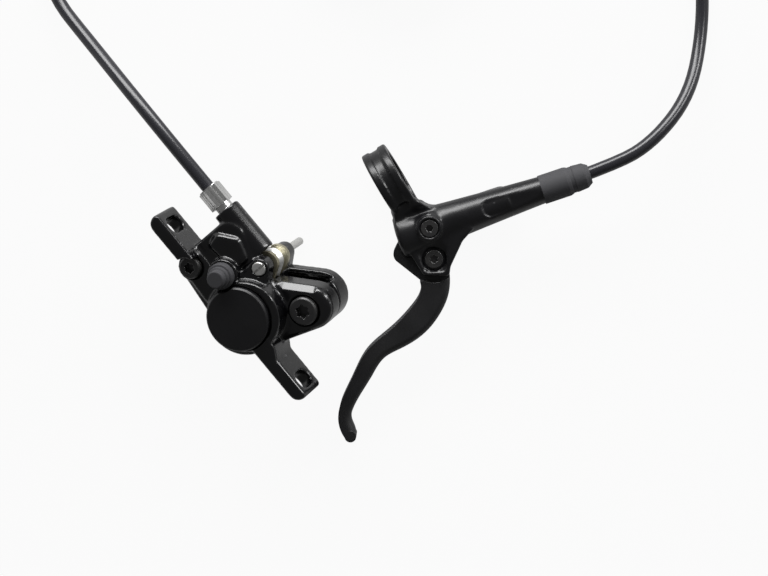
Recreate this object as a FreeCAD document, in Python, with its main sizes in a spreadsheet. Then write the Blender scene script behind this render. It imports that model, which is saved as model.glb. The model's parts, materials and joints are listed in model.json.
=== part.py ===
import FreeCAD, Part

import math
import os

import Sketcher
from FreeCAD import Placement, Rotation, Vector

# Hydraulic disc brake: lever with master cylinder, hose, and post-mount caliper.
# Millimetres. Origin at the centre of the handlebar clamp, +Z up from the floor on which it lies.

SIZES = {
    # Lever: clamp and how the lever lies
    "bar_bore_radius": 11.1, "clamp_wall": 3.2, "clamp_width": 9.75, "clamp_groove_depth": 0.6,
    "clamp_groove_width": 3.8, "clamp_groove_end": -13.4, "clamp_rim_round": 0.6, "bore_relief": 0.8,
    "clamp_split": 1.4, "clamp_split_plane": -6.9, "clamp_foot_plane": -11.4, "pinch_bolt_across": -15.2,
    "pinch_bolt_radius": 2.5, "pinch_bolt_tip": -1.9, "pinch_head_radius": 4.2, "pinch_head_height": 2.6,
    "lever_heading": 30.5, "lever_dip": 7.4,
    # Lever: neck and master cylinder barrel
    "neck_base": -5.2, "neck_top": 10.2, "shoulder_top": 10.9, "barrel_plane": 3.0,
    "barrel_start_along": -8.47, "barrel_start_across": -18.83, "barrel_slope": 11.8, "barrel_length": 58.0,
    "barrel_root_radius": 8.8, "barrel_neck_radius": 5.1, "barrel_hollow": 0.25, "barrel_end_round": 2.2,
    "master_bore_radius": 5.0, "master_bore_start": 8.8, "master_bore_end": 43.3, "port_radius": 1.5,
    "nut_socket_radius": 3.5, "nut_socket_depth": 9.0, "thumb_start": 33.5, "thumb_length": 21.5,
    # Lever: pivot and lugs
    "pivot_along": -0.4, "pivot_across": -31.9, "lug_half_height": 6.2, "lug_round": 0.9,
    "lug_recess_depth": 0.7, "slot_half_height": 3.2, "pivot_pin_radius": 2.5, "bushing_wall": 0.75,
    "pin_head_radius": 3.3, "pin_head_height": 1.1, "pin_pocket_radius": 4.5, "pin_pocket_depth": 1.6,
    "running_gap": 0.05, "side_gap": 0.2,
    # Lever: blade
    "blade_half_height": 4.6, "nose_radius": 3.0, "nose_play": 0.7, "lug_sweep_radius": 9.0,
    "pivot_eye_radius": 6.4, "finger_round": 2.6,
    # Lever: master piston train
    "pushrod_disc_radius": 3.2, "pushrod_disc_height": 1.4, "pushrod_radius": 1.6, "pushrod_length": 10.0,
    "piston_length": 13.0, "piston_land": 2.2, "piston_neck_radius": 3.1, "cup_width": 2.4,
    "spring_wire_radius": 0.5, "spring_turns": 5.0, "stroke": 4.2, "stop_clip_height": 1.0,
    # Lever: reservoir and bleed port
    "bleed_along": 4.1, "bleed_across": -20.9, "bleed_boss_radius": 4.7, "bleed_boss_stand": 0.5,
    "bleed_screw_radius": 3.6, "bleed_screw_depth": 3.0, "bleed_key_flats": 2.5, "reservoir_length": 30.0,
    "reservoir_width": 11.0, "reservoir_depth": 4.4, "reservoir_wall": 1.6, "reservoir_centre": 31.3,
    "reservoir_floor": -4.4, "lid_thickness": 1.4, "diaphragm_thickness": 0.9, "lid_screw_radius": 1.25,
    "lid_screw_head_radius": 2.1,
    # Lever: hose connection
    "cover_overlap": 1.3, "cover_length": 18.9, "cover_radius": 5.5, "cover_groove_radius": 4.95,
    "nut_flats": 8.0, "connector_thread_radius": 3.45, "connector_head_length": 9.4,
    # Hose
    "hose_radius": 2.5, "hose_bore_radius": 1.15, "insert_head": 1.0, "insert_length": 8.0, "olive_length": 4.0,
    "olive_swell": 0.55, "coil_radius": 26.5, "coil_turns": 3.0, "coil_centre_x": 0.0, "coil_centre_y": 105.5,
    "tie_width": 3.0, "tie_thickness": 1.0,
    # Caliper: how it lies, rotor and pads
    "caliper_x": -50.35, "caliper_y": -45.9, "caliper_heading": 39.7, "caliper_tilt": 23.7,
    "rotor_radius": 80.7, "rotor_bearing": 28.0, "rotor_distance": 71.0, "rotor_gap": 1.9, "lining_gap": 1.5,
    "lining_thickness": 3.0, "pad_plate_thickness": 2.0, "pad_half_width": 11.8, "pad_half_depth": 10.2,
    "pad_tab_reach": 19.4, "pad_tab_radius": 4.5, "pad_clearance": 0.3, "pad_corner": 4.0,
    # Caliper: housing
    "plate_height": 10.3, "plate_round": 2.6, "housing_radius": 14.2, "housing_shift": 0.6,
    "housing_height": 17.0, "housing_step": 2.2, "housing_round": 0.7, "cap_seat_radius": 13.0,
    "piston_radius": 11.0, "piston_room": 0.2, "piston_wall": 2.6, "seal_width": 2.0, "seal_depth": 1.5,
    "inner_depth": 17.4, "inner_radius": 14.0, "inner_plate_radius": 14.8, "rim_bevel": 1.5,
    "crescent_radius": 13.3, "crescent_shift": 2.3, "crescent_stand": 1.2, "crescent_round": 0.8,
    "cap_radius": 12.1, "cap_stand": 3.0, "cap_thread_radius": 11.7, "cap_thread_depth": 2.6,
    "cap_seal_radius": 0.8,
    # Caliper: body bolts, pad pin
    "long_bolt_b": 18.6, "long_bolt_t": -13.0, "outer_lobe_b": 20.8, "outer_lobe_t": -13.7,
    "outer_lobe_radius": 8.3, "inner_lobe_b": 20.3, "inner_lobe_t": -12.4, "inner_lobe_radius": 9.5,
    "short_bolt_b": -4.0, "short_bolt_t": 25.9, "long_bolt_radius": 3.0, "short_bolt_radius": 2.5,
    "long_head_radius": 5.3, "short_head_radius": 4.2, "bolt_head_height": 3.6, "bolt_gap": 0.1,
    "short_boss_radius": 5.3, "short_boss_height": 13.2, "pad_pin_radius": 1.5, "pad_pin_head_radius": 2.6,
    "pad_pin_tail": 29.5, "pin_lug_radius": 3.8, "pin_lug_height": 14.0, "pin_lug_start": 7.2,
    # Caliper: ears
    "ear_seat": 1.4, "ear_thickness": 5.4, "ear_low": 2.5, "ear_high": 19.0, "upper_ear_slot": 41.9,
    "lower_ear_slot": 31.9, "upper_ear_tip": 48.5, "lower_ear_tip": 37.6, "ear_slot_radius": 3.2,
    "ear_slot_length": 10.6, "ear_round": 3.8, "ear_edge": 0.7,
    # Caliper: hose port, plateau and bleed nipple
    "boss_b": 18.65, "boss_a": 6.0, "boss_radius": 5.2, "boss_end": 34.0, "boss_start": 13.0,
    "plateau_height": 13.9, "plateau_round": 1.4,
    "flare_nut_length": 10.0, "flare_thread_radius": 4.0, "flare_thread_length": 7.0, "nipple_b": 5.6,
    "nipple_t": 15.9, "nipple_boss_radius": 6.0, "nipple_boss_height": 17.0, "nipple_radius": 3.0,
    "nipple_cap_radius": 4.9, "nipple_cap_height": 7.0, "nipple_tip_radius": 2.2,
    # Caliper: hollow beside the inner half's bolt lobe
    "side_bearing": 45.9, "trough_floor": 8.5, "trough_near": 10.6, "trough_far": 12.9, "trough_start": 10.5,
    "trough_end": 26.5, "flange_top": 5.0,
}

HEIGHT_AXIS = Vector(0, 0, 1)
RADIUS_OF_HEX = 2.0 / math.sqrt(3.0)

DOCUMENT = FreeCAD.newDocument("disc_brake")
SHEET = DOCUMENT.addObject("Spreadsheet::Sheet", "Sizes")
for row, (alias, number) in enumerate(SIZES.items(), start=1):
    SHEET.set("A%d" % row, alias)
    SHEET.set("B%d" % row, str(number))
    SHEET.setAlias("B%d" % row, alias)
DOCUMENT.recompute()

NODES = []


class Size:
    """A length that knows both its number and the sheet expression it comes from."""

    def __init__(self, number, text):
        self.number = float(number)
        self.text = text

    @staticmethod
    def of(thing):
        return thing if isinstance(thing, Size) else Size(thing, repr(float(thing)))

    def _with(self, other, sign, number):
        return Size(number, "(%s %s %s)" % (self.text, sign, other.text))

    def __add__(self, other):
        other = Size.of(other)
        return self._with(other, "+", self.number + other.number)

    def __sub__(self, other):
        other = Size.of(other)
        return self._with(other, "-", self.number - other.number)

    def __mul__(self, other):
        other = Size.of(other)
        return self._with(other, "*", self.number * other.number)

    def __truediv__(self, other):
        other = Size.of(other)
        return self._with(other, "/", self.number / other.number)

    def __radd__(self, other):
        return Size.of(other) + self

    def __rsub__(self, other):
        return Size.of(other) - self

    def __rmul__(self, other):
        return Size.of(other) * self

    def __neg__(self):
        return 0 - self

    def __float__(self):
        return self.number


def size(alias):
    """The named size, read from the sheet."""
    return Size(SHEET.get(alias), "%s.%s" % (SHEET.Name, alias))


def number(alias):
    """The named size as a plain number."""
    return float(SHEET.get(alias))


def bind(thing, path, value):
    """Set a property from a size, with its sheet expression where it has one."""
    value = Size.of(value)
    thing.setExpression(path, value.text)


def direction_of(angle):
    """Unit vector in the flat at an angle in degrees from +X."""
    return Vector(math.cos(math.radians(angle)), math.sin(math.radians(angle)), 0)


def facing(direction):
    """Rotation that turns +Z to a direction."""
    return Rotation(HEIGHT_AXIS, direction)


# Outlines: lists of Part curves in the flat


def lines_and_arcs(corners):
    """Closed outline through corners (x, y, rounding radius); a radius of 0 keeps the corner sharp."""
    points = [(Vector(float(x), float(y), 0), float(r)) for x, y, r in corners]
    runs = []
    for index, (corner, radius) in enumerate(points):
        before = (points[index - 1][0] - corner).normalize()
        after = (points[(index + 1) % len(points)][0] - corner).normalize()
        if radius <= 0:
            runs.append((corner, corner, None))
            continue
        half = before.getAngle(after) / 2
        cut = radius / math.tan(half)
        middle = (before + after).normalize()
        deepest = corner + middle * (radius / math.sin(half) - radius)
        runs.append((corner + before * cut, corner + after * cut, deepest))
    edges = []
    for index, (start, end, deepest) in enumerate(runs):
        if deepest is not None:
            edges.append(Part.Arc(start, deepest, end))
        following = runs[(index + 1) % len(runs)][0]
        edges.append(Part.LineSegment(end, following))
    return edges


def belt(first, second):
    """Outline that a belt round two circles (x, y, radius) takes."""
    start = Vector(float(first[0]), float(first[1]), 0)
    end = Vector(float(second[0]), float(second[1]), 0)
    start_radius, end_radius = float(first[2]), float(second[2])
    along = end - start
    heading = math.atan2(along.y, along.x)
    lean = math.acos((start_radius - end_radius) / along.Length)

    def rim(centre, radius, angle):
        return centre + Vector(math.cos(angle), math.sin(angle), 0) * radius

    high, low = heading + lean, heading - lean
    return [
        Part.LineSegment(rim(start, start_radius, low), rim(end, end_radius, low)),
        Part.Arc(rim(end, end_radius, low), rim(end, end_radius, heading), rim(end, end_radius, high)),
        Part.LineSegment(rim(end, end_radius, high), rim(start, start_radius, high)),
        Part.Arc(rim(start, start_radius, high), rim(start, start_radius, heading + math.pi),
                 rim(start, start_radius, low)),
    ]


def belt_of_three(first, second, third):
    """Outline that a belt round three circles (x, y, radius), given counter-clockwise, takes."""
    circles = [first, second, third]
    centres = [Vector(float(x), float(y), 0) for x, y, _ in circles]
    radii = [float(radius) for _, _, radius in circles]
    normals = []
    for index in range(3):
        following = (index + 1) % 3
        along = centres[following] - centres[index]
        lean = math.acos((radii[index] - radii[following]) / along.Length)
        normals.append(math.atan2(along.y, along.x) - lean)

    def rim(index, angle):
        return centres[index] + Vector(math.cos(angle), math.sin(angle), 0) * radii[index]

    edges = []
    for index in range(3):
        arriving, leaving = normals[index - 1], normals[index]
        while leaving < arriving:
            leaving += 2 * math.pi
        edges.append(Part.Arc(rim(index, arriving), rim(index, (arriving + leaving) / 2), rim(index, leaving)))
        edges.append(Part.LineSegment(rim(index, leaving), rim((index + 1) % 3, normals[index])))
    return edges


def hexagon(x, y, across_flats):
    """Hexagon outline with its flats facing +X and -X."""
    reach = float(across_flats) / 2 * RADIUS_OF_HEX
    corners = []
    for index in range(6):
        angle = math.radians(30 + 60 * index)
        corners.append((float(x) + reach * math.cos(angle), float(y) + reach * math.sin(angle), 0))
    return lines_and_arcs(corners)


def torx(x, y, radius):
    """Six-lobed key outline, its tips on a circle of the radius."""
    corners = []
    for index in range(12):
        angle = math.radians(30 * index)
        reach = radius if index % 2 == 0 else radius * 0.68
        corners.append((float(x) + reach * math.cos(angle), float(y) + reach * math.sin(angle), radius * 0.16))
    return lines_and_arcs(corners)


def slot_outline(x, y, half_span, radius):
    """Slot along the sketch's second axis."""
    return belt((x, float(y) - half_span, radius), (x, float(y) + half_span, radius - 1e-9))


def rounded_end(start, way, radius, rounding):
    """Half outline of a bar's end along a direction, with its edge rounded."""
    across = way.cross(HEIGHT_AXIS)

    def spot(out, along):
        return start + across * out + way * along

    corner = rounding * (1 - math.sqrt(0.5))
    turn = Part.Arc(spot(radius - rounding, 0), spot(radius - corner, corner), spot(radius, rounding))
    return [Part.LineSegment(spot(0, 0), spot(radius - rounding, 0)), turn,
            Part.LineSegment(spot(radius, rounding), spot(0, rounding)),
            Part.LineSegment(spot(0, rounding), spot(0, 0))]


class Circle:
    """A circle in a sketch, its centre and radius bound to sizes."""

    def __init__(self, x, y, radius):
        self.x, self.y, self.radius = Size.of(x), Size.of(y), Size.of(radius)

    def draw(self, sketch):
        shape = Part.Circle(Vector(float(self.x), float(self.y), 0), HEIGHT_AXIS, float(self.radius))
        index = sketch.addGeometry(shape, False)
        rules = [("Radius", (index, float(self.radius)), self.radius),
                 ("DistanceX", (-1, 1, index, 3, float(self.x)), self.x),
                 ("DistanceY", (-1, 1, index, 3, float(self.y)), self.y)]
        for kind, places, bound in rules:
            rule = sketch.addConstraint(Sketcher.Constraint(kind, *places))
            sketch.setExpression("Constraints[%d]" % rule, bound.text)


class Piece:
    """One piece of the brake: a body drawn in the axes of the assembly that carries it."""

    def __init__(self, label, seat):
        self.body = DOCUMENT.addObject("PartDesign::Body", label)
        self.body.Label = label
        self.seat = seat
        NODES.append(self)

    def place(self):
        self.body.Placement = self.seat

    def shape(self):
        return self.body.Shape

    def _plane(self, role):
        return next(plane for plane in self.body.Origin.OriginFeatures if plane.Role == role)

    def _sketch(self, role, offset, loops):
        sketch = self.body.newObject("Sketcher::SketchObject", "Outline")
        sketch.AttachmentSupport = [(self._plane(role), "")]
        sketch.MapMode = "FlatFace"
        if offset is not None:
            bind(sketch, "AttachmentOffset.Base.z", offset)
        for loop in loops:
            if isinstance(loop, Circle):
                loop.draw(sketch)
                continue
            first = sketch.GeometryCount
            sketch.addGeometry(loop, False)
            for index in range(len(loop)):
                sketch.addConstraint(Sketcher.Constraint("Block", first + index))
        return sketch

    def raised(self, offset, height, *loops, role="XY_Plane"):
        """Add the outline from an offset plane upwards."""
        sketch = self._sketch(role, offset, loops)
        pad = self.body.newObject("PartDesign::Pad", "Raised")
        pad.Profile = sketch
        bind(pad, "Length", height)
        return self

    def sunk(self, offset, height, *loops, role="XY_Plane"):
        """Cut the outline from an offset plane upwards."""
        sketch = self._sketch(role, offset, loops)
        pocket = self.body.newObject("PartDesign::Pocket", "Sunk")
        pocket.Profile = sketch
        pocket.Reversed = True
        bind(pocket, "Length", height)
        return self

    def turned(self, profile):
        """Turn a closed profile of (radius, height[, rounding]) corners about the piece's own Z axis."""
        corners = [(corner[0], corner[1], corner[2] if len(corner) > 2 else 0) for corner in profile]
        sketch = self._sketch("XZ_Plane", 0, [lines_and_arcs(corners)])
        return self._revolved(sketch, "V_Axis")

    def spun(self, offset, outline, start, end):
        """Turn an outline in an offset plane about the line between two of its points."""
        sketch = self._sketch("XY_Plane", offset, [outline])
        sketch.addGeometry(Part.LineSegment(start, end), True)
        return self._revolved(sketch, "Axis0")

    def lofted(self, direction, sections):
        """Add a smooth bar through circles (centre, radius) that face a direction."""
        sketches = []
        for at, radius in sections:
            sketch = self._sketch("XY_Plane", None, [Circle(0, 0, radius)])
            sketch.AttachmentOffset = Placement(at, facing(direction))
            sketches.append(sketch)
        loft = self.body.newObject("PartDesign::AdditiveLoft", "Lofted")
        loft.Profile = sketches[0]
        loft.Sections = sketches[1:]
        return self

    def _revolved(self, sketch, axis):
        turn = self.body.newObject("PartDesign::Revolution", "Turned")
        turn.Profile = sketch
        turn.ReferenceAxis = (sketch, [axis])
        turn.Angle = 360
        return self

    def round_bar(self, at, direction, radius, length, cut=False, end_radius=None):
        """Add or cut a cylinder, or a cone, from a point along a direction."""
        kind = "Subtractive" if cut else "Additive"
        form = "Cylinder" if end_radius is None else "Cone"
        bar = self.body.newObject("PartDesign::%s%s" % (kind, form), "Bar")
        bar.AttachmentSupport = [(self._plane("XY_Plane"), "")]
        bar.MapMode = "FlatFace"
        bar.AttachmentOffset = Placement(at, facing(direction))
        bind(bar, "Height", length)
        if end_radius is None:
            bind(bar, "Radius", radius)
        else:
            bind(bar, "Radius1", radius)
            bind(bar, "Radius2", end_radius)
        return self

    def rounded(self, radius, chosen, chamfer=False):
        """Round, or bevel, the edges that the chosen test picks."""
        DOCUMENT.recompute()
        tip = self.body.Tip
        names = ["Edge%d" % (index + 1) for index, edge in enumerate(tip.Shape.Edges) if chosen(edge)]
        if not names:
            raise RuntimeError("no edge to round on " + self.body.Label)
        kind = "PartDesign::Chamfer" if chamfer else "PartDesign::Fillet"
        feature = self.body.newObject(kind, "Rounded")
        feature.Base = (tip, names)
        bind(feature, "Size" if chamfer else "Radius", radius)
        return self


class Shaped:
    """A piece whose form only Part's own functions can make."""

    def __init__(self, label, seat, shape):
        self.body = DOCUMENT.addObject("Part::Feature", label)
        self.body.Label = label
        self.body.Shape = shape
        self.seat = seat
        NODES.append(self)

    def place(self):
        self.body.Placement = self.seat

    def shape(self):
        return self.body.Shape


def is_round_edge_at(height, radius=None):
    """Test for circular edges that lie flat at a height."""

    def chosen(edge):
        if not isinstance(edge.Curve, Part.Circle):
            return False
        flat = abs(abs(edge.Curve.Axis.z) - 1) < 1e-6
        here = abs(edge.Curve.Center.z - float(height)) < 1e-4
        fits = radius is None or abs(edge.Curve.Radius - float(radius)) < 1e-4
        return flat and here and fits

    return chosen


def lies_at(height):
    """Test for edges that lie flat at a height."""
    level = float(height)
    return lambda edge: abs(edge.BoundBox.ZMin - level) < 1e-4 and abs(edge.BoundBox.ZMax - level) < 1e-4


def is_rim_of(radius):
    """Test for full circles of a radius that stand upright."""

    def chosen(edge):
        return isinstance(edge.Curve, Part.Circle) and abs(edge.Curve.Radius - float(radius)) < 1e-4

    return chosen


# Seats of the two assemblies

lever_turn = Rotation(HEIGHT_AXIS, number("lever_heading"))
blade_reach = Vector(-0.638, -0.770, 0)
dip_axis = HEIGHT_AXIS.cross(blade_reach)
LEVER = Placement(Vector(0, 0, 0), lever_turn.multiply(Rotation(dip_axis, number("lever_dip"))))

bar_axis = LEVER.Rotation.multVec(Vector(1, 0, 0))
ring_radius = number("bar_bore_radius") + number("clamp_wall")
FLOOR = -(ring_radius * math.sqrt(1 - bar_axis.z ** 2) + number("clamp_width") / 2 * abs(bar_axis.z))

tilt = math.radians(number("caliper_tilt"))
rim_depth, rim_radius, rim_bevel = number("inner_depth"), number("inner_radius"), number("rim_bevel")
rim_drop = max((rim_depth - rim_bevel) * math.cos(tilt) + rim_radius * math.sin(tilt),
               rim_depth * math.cos(tilt) + (rim_radius - rim_bevel) * math.sin(tilt))
caliper_turn = Rotation(HEIGHT_AXIS, number("caliper_heading")).multiply(
    Rotation(Vector(0, 1, 0), -number("caliper_tilt")))
CALIPER = Placement(Vector(number("caliper_x"), number("caliper_y"), FLOOR + rim_drop), caliper_turn)

# Lines of the lever that several pieces share

BARREL_WAY = direction_of(-number("barrel_slope"))
BARREL_START = Vector(number("barrel_start_along"), number("barrel_start_across"), number("barrel_plane"))
PIVOT = Vector(number("pivot_along"), number("pivot_across"), number("barrel_plane"))


def on_barrel(distance):
    """Point on the master cylinder's axis, measured from its closed end."""
    return BARREL_START + BARREL_WAY * float(distance)


def barrel_seat(distance):
    """Seat of a turned piece whose own Z axis runs along the master cylinder."""
    return LEVER.multiply(Placement(on_barrel(distance), facing(BARREL_WAY)))


def upright_seat(x, y, height):
    """Seat of a turned piece that stands in the lever."""
    return LEVER.multiply(Placement(Vector(float(x), float(y), float(height)), Rotation()))


PUSH_PLANE = number("master_bore_start")
NOSE = on_barrel(PUSH_PLANE - number("nose_radius") - number("nose_play"))
PLANE = size("barrel_plane")
LUG, SLOT = size("lug_half_height"), size("slot_half_height")
RESERVOIR = on_barrel(number("reservoir_centre"))
reservoir_length, reservoir_width = number("reservoir_length"), number("reservoir_width")


def along_barrel(outline):
    """Turn an outline drawn about the reservoir's centre into the barrel's direction."""
    turned = []
    for x, y, radius in outline:
        spot = RESERVOIR + BARREL_WAY * x + HEIGHT_AXIS.cross(BARREL_WAY) * y
        turned.append((spot.x, spot.y, radius))
    return lines_and_arcs(turned)


def reservoir_outline(inset):
    """Rounded oblong of the reservoir, drawn in by an inset."""
    reach, side = reservoir_length / 2 - inset, reservoir_width / 2 - inset
    corner = 5.0 - inset
    return along_barrel([(-reach, -side, corner), (reach, -side, corner), (reach, side, corner),
                         (-reach, side, corner)])


lid_screw_reach = reservoir_length / 2 - number("reservoir_wall") - number("lid_screw_head_radius") - 0.4
LID_SCREWS = [RESERVOIR + BARREL_WAY * lid_screw_reach, RESERVOIR - BARREL_WAY * lid_screw_reach]
LID_PLANE = size("reservoir_floor") - size("reservoir_depth")


def lever_body():
    """Casting with the bar clamp, the master cylinder, the pivot lugs and the reservoir."""
    body = Piece("lever_body", LEVER)
    width = size("clamp_width")
    ring = size("bar_bore_radius") + size("clamp_wall")
    half_width = number("clamp_width") / 2
    along = Vector(1, 0, 0)
    body.round_bar(Vector(-half_width, 0, 0), along, ring, width)
    body.rounded(size("clamp_rim_round"), is_rim_of(ring))
    lug_top = PLANE + LUG
    lug = lines_and_arcs([(-8.3, -17, 0), (-7.1, -27, 6), (-6.9, -35.2, 1.6), (1.3, -40.4, 1.6),
                          (3.5, -37.5, 4), (12.2, -31.5, 4), (18, -29.6, 0), (18, -24, 0)])
    body.raised(PLANE - LUG, LUG * 2, lug)
    body.rounded(size("lug_round"), lies_at(lug_top))
    neck = lines_and_arcs([(-half_width, -8, 0), (-half_width, -10.2, 3), (-7.2, -16.5, 2), (-7.2, -24, 0),
                           (18, -24, 0), (18, -17.8, 0), (8, -15.2, 6.5), (half_width, -8, 0)])
    neck_base, neck_top = size("neck_base"), size("neck_top")
    body.raised(neck_base, neck_top - neck_base, neck)
    shoulder = lines_and_arcs([(-half_width + 0.3, -10.3, 0.7), (-2.6, -10.3, 0.7), (0.2, -14.0, 3.5),
                               (12.8, -17.0, 0.8), (12.8, -21, 0.8), (-7.0, -21, 0.8), (-6.7, -15.5, 2.0)])
    body.raised(neck_top - 2, size("shoulder_top") - neck_top + 2, shoulder)
    body.rounded(0.5, lies_at(size("shoulder_top")))
    foot = lines_and_arcs([(-half_width, -9, 0), (-half_width, -21.6, 2), (half_width, -21.6, 2),
                           (half_width, -9, 0)])
    foot_plane = size("clamp_foot_plane")
    body.raised(foot_plane, -foot_plane - 2, foot)
    start = Vector(BARREL_START.x, BARREL_START.y, 0)
    long = number("barrel_length")
    root, end_round = size("barrel_root_radius"), number("barrel_end_round")
    body.spun(PLANE, rounded_end(start, BARREL_WAY, number("barrel_root_radius"), end_round), start,
              start + BARREL_WAY * end_round)
    neck_radius = size("barrel_neck_radius")
    middle_radius = (root + neck_radius) / 2 - size("barrel_hollow")
    body.lofted(BARREL_WAY, [(on_barrel(end_round), root), (on_barrel((end_round + long) / 2), middle_radius),
                             (on_barrel(long), neck_radius)])
    body.raised(LID_PLANE, size("reservoir_depth") + 3.5, reservoir_outline(0))
    bleed = Circle(size("bleed_along"), size("bleed_across"), size("bleed_boss_radius"))
    boss_height = size("barrel_root_radius") + size("bleed_boss_stand")
    body.raised(PLANE, boss_height, bleed)
    body.rounded(0.4, lies_at(PLANE + boss_height))

    body.round_bar(Vector(-half_width - 1, 0, 0), along, size("bar_bore_radius"), width + 2, cut=True)
    relief = size("bar_bore_radius") + size("bore_relief")
    body.round_bar(Vector(half_width, 0, 0), along, relief, 4, cut=True)
    body.round_bar(Vector(-half_width, 0, 0), -along, relief, 4, cut=True)
    groove, deep = number("clamp_groove_width"), number("clamp_groove_depth")
    channel = Part.makeCylinder(ring_radius + 1, groove, Vector(-groove / 2, 0, 0), along)
    core = Part.makeCylinder(ring_radius - deep, groove, Vector(-groove / 2, 0, 0), along)
    keep = Part.makeBox(groove, 40, 40, Vector(-groove / 2, -48, -31.5))
    tool = DOCUMENT.addObject("Part::Feature", "Channel")
    tool.Shape = channel.cut(core).cut(keep)
    boolean = body.body.newObject("PartDesign::Boolean", "ChannelCut")
    boolean.Type = "Cut"
    boolean.addObjects([tool])
    groove_end = number("clamp_groove_end")
    body.sunk(neck_top - deep, deep + 3,
              lines_and_arcs([(-groove / 2, -8, 0), (-groove / 2, groove_end, 1.2), (groove / 2, groove_end, 1.2),
                              (groove / 2, -8, 0)]))

    across = size("pinch_bolt_across")
    body.sunk(size("clamp_split_plane"), size("clamp_split"),
              lines_and_arcs([(-8, -23, 0), (8, -23, 0), (8, -5, 0), (-8, -5, 0)]))
    body.sunk(foot_plane - 4, size("pinch_head_height") + 4, Circle(0, across, size("pinch_head_radius") + 0.2))
    body.sunk(foot_plane, size("pinch_bolt_tip") - foot_plane, Circle(0, across, size("pinch_bolt_radius")))

    reach = number("slot_half_height")
    sweep = lines_and_arcs([(-16, -50, 0), (12, -50, 0), (9.6, -30, 3), (3.4, -24.4, 3), (3.4, -15.5, 3.1),
                            (-16, -11.2, 0)])
    body.sunk(PLANE - reach, SLOT * 2, sweep)
    body.round_bar(on_barrel(PUSH_PLANE - 5), BARREL_WAY, size("master_bore_radius"),
                   size("master_bore_end") - PUSH_PLANE + 5, cut=True)
    body.round_bar(on_barrel(PUSH_PLANE), BARREL_WAY, size("port_radius"), size("barrel_length"), cut=True)
    socket = long - number("nut_socket_depth")
    body.round_bar(on_barrel(socket), BARREL_WAY, size("nut_socket_radius"), size("nut_socket_depth") + 1, cut=True)
    recess = lines_and_arcs([(-4.4, -26.4, 2.4), (-5.9, -34.6, 2.0), (1.2, -38.4, 2.0), (6.0, -30.2, 3.0),
                             (3.6, -26.8, 2.4)])
    body.sunk(lug_top - size("lug_recess_depth"), size("lug_recess_depth") + 1, recess)
    pin = Circle(PIVOT.x, PIVOT.y, size("pivot_pin_radius") + size("running_gap"))
    body.sunk(PLANE - LUG - 1, LUG * 2 + 2, pin)
    pocket = Circle(PIVOT.x, PIVOT.y, size("pin_pocket_radius"))
    body.sunk(lug_top - size("pin_pocket_depth"), size("pin_pocket_depth") + 1, pocket)
    body.sunk(PLANE - LUG - 1, size("pin_pocket_depth") + 1, pocket)
    screw = Circle(size("bleed_along"), size("bleed_across"), size("bleed_screw_radius"))
    body.sunk(PLANE + boss_height - size("bleed_screw_depth"), size("bleed_screw_depth") + 1, screw)
    body.sunk(LID_PLANE - 1, size("reservoir_depth") + 1 - 1.2, reservoir_outline(number("reservoir_wall")))
    thumb_start, thumb_end = number("thumb_start"), number("thumb_start") + number("thumb_length")
    thumb = [(BARREL_START + BARREL_WAY * step + HEIGHT_AXIS.cross(BARREL_WAY) * side, corner)
             for step, side, corner in ((thumb_start, -3.1, 2.9), (thumb_end, -3.0, 1.0), (thumb_end, 3.2, 1.0),
                                        (thumb_start, 3.3, 2.9))]
    body.sunk(PLANE + size("barrel_neck_radius"), 6, as_outline(thumb))
    return body


def clamp_bolt():
    """Cap screw that pulls the bar clamp's split together, from below."""
    foot_plane = size("clamp_foot_plane")
    bolt = Piece("clamp_bolt", upright_seat(0, number("pinch_bolt_across"), foot_plane.number))
    head, shank = size("pinch_head_radius"), size("pinch_bolt_radius") - 0.02
    height = size("pinch_head_height")
    length = size("pinch_bolt_tip") - foot_plane - 0.2
    bolt.turned([(0, 0.2), (head, 0.2), (head, height), (shank, height), (shank, length), (0, length)])
    bolt.sunk(-0.1, 2.0, hexagon(0, 0, 4))
    return bolt


BLADE_BACK = [(-8.9, -4.8), (-10.3, -7.8), (-17.0, -11.8), (-28.0, -14.9), (-39.4, -17.3), (-50.3, -24.0),
              (-57.7, -29.2), (-62.0, -34.3), (-63.3, -38.0), (-63.5, -41.6)]
BLADE_FRONT = [(-59.2, -42.6), (-58.4, -39.8), (-57.9, -37.1), (-53.9, -32.9), (-42.9, -26.8), (-35.4, -23.2),
               (-28.2, -23.2), (-17.1, -22.6), (-8.5, -19.2), (-2.3, -14.6), (0.7, -10.7), (2.7, -6.5)]


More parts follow.
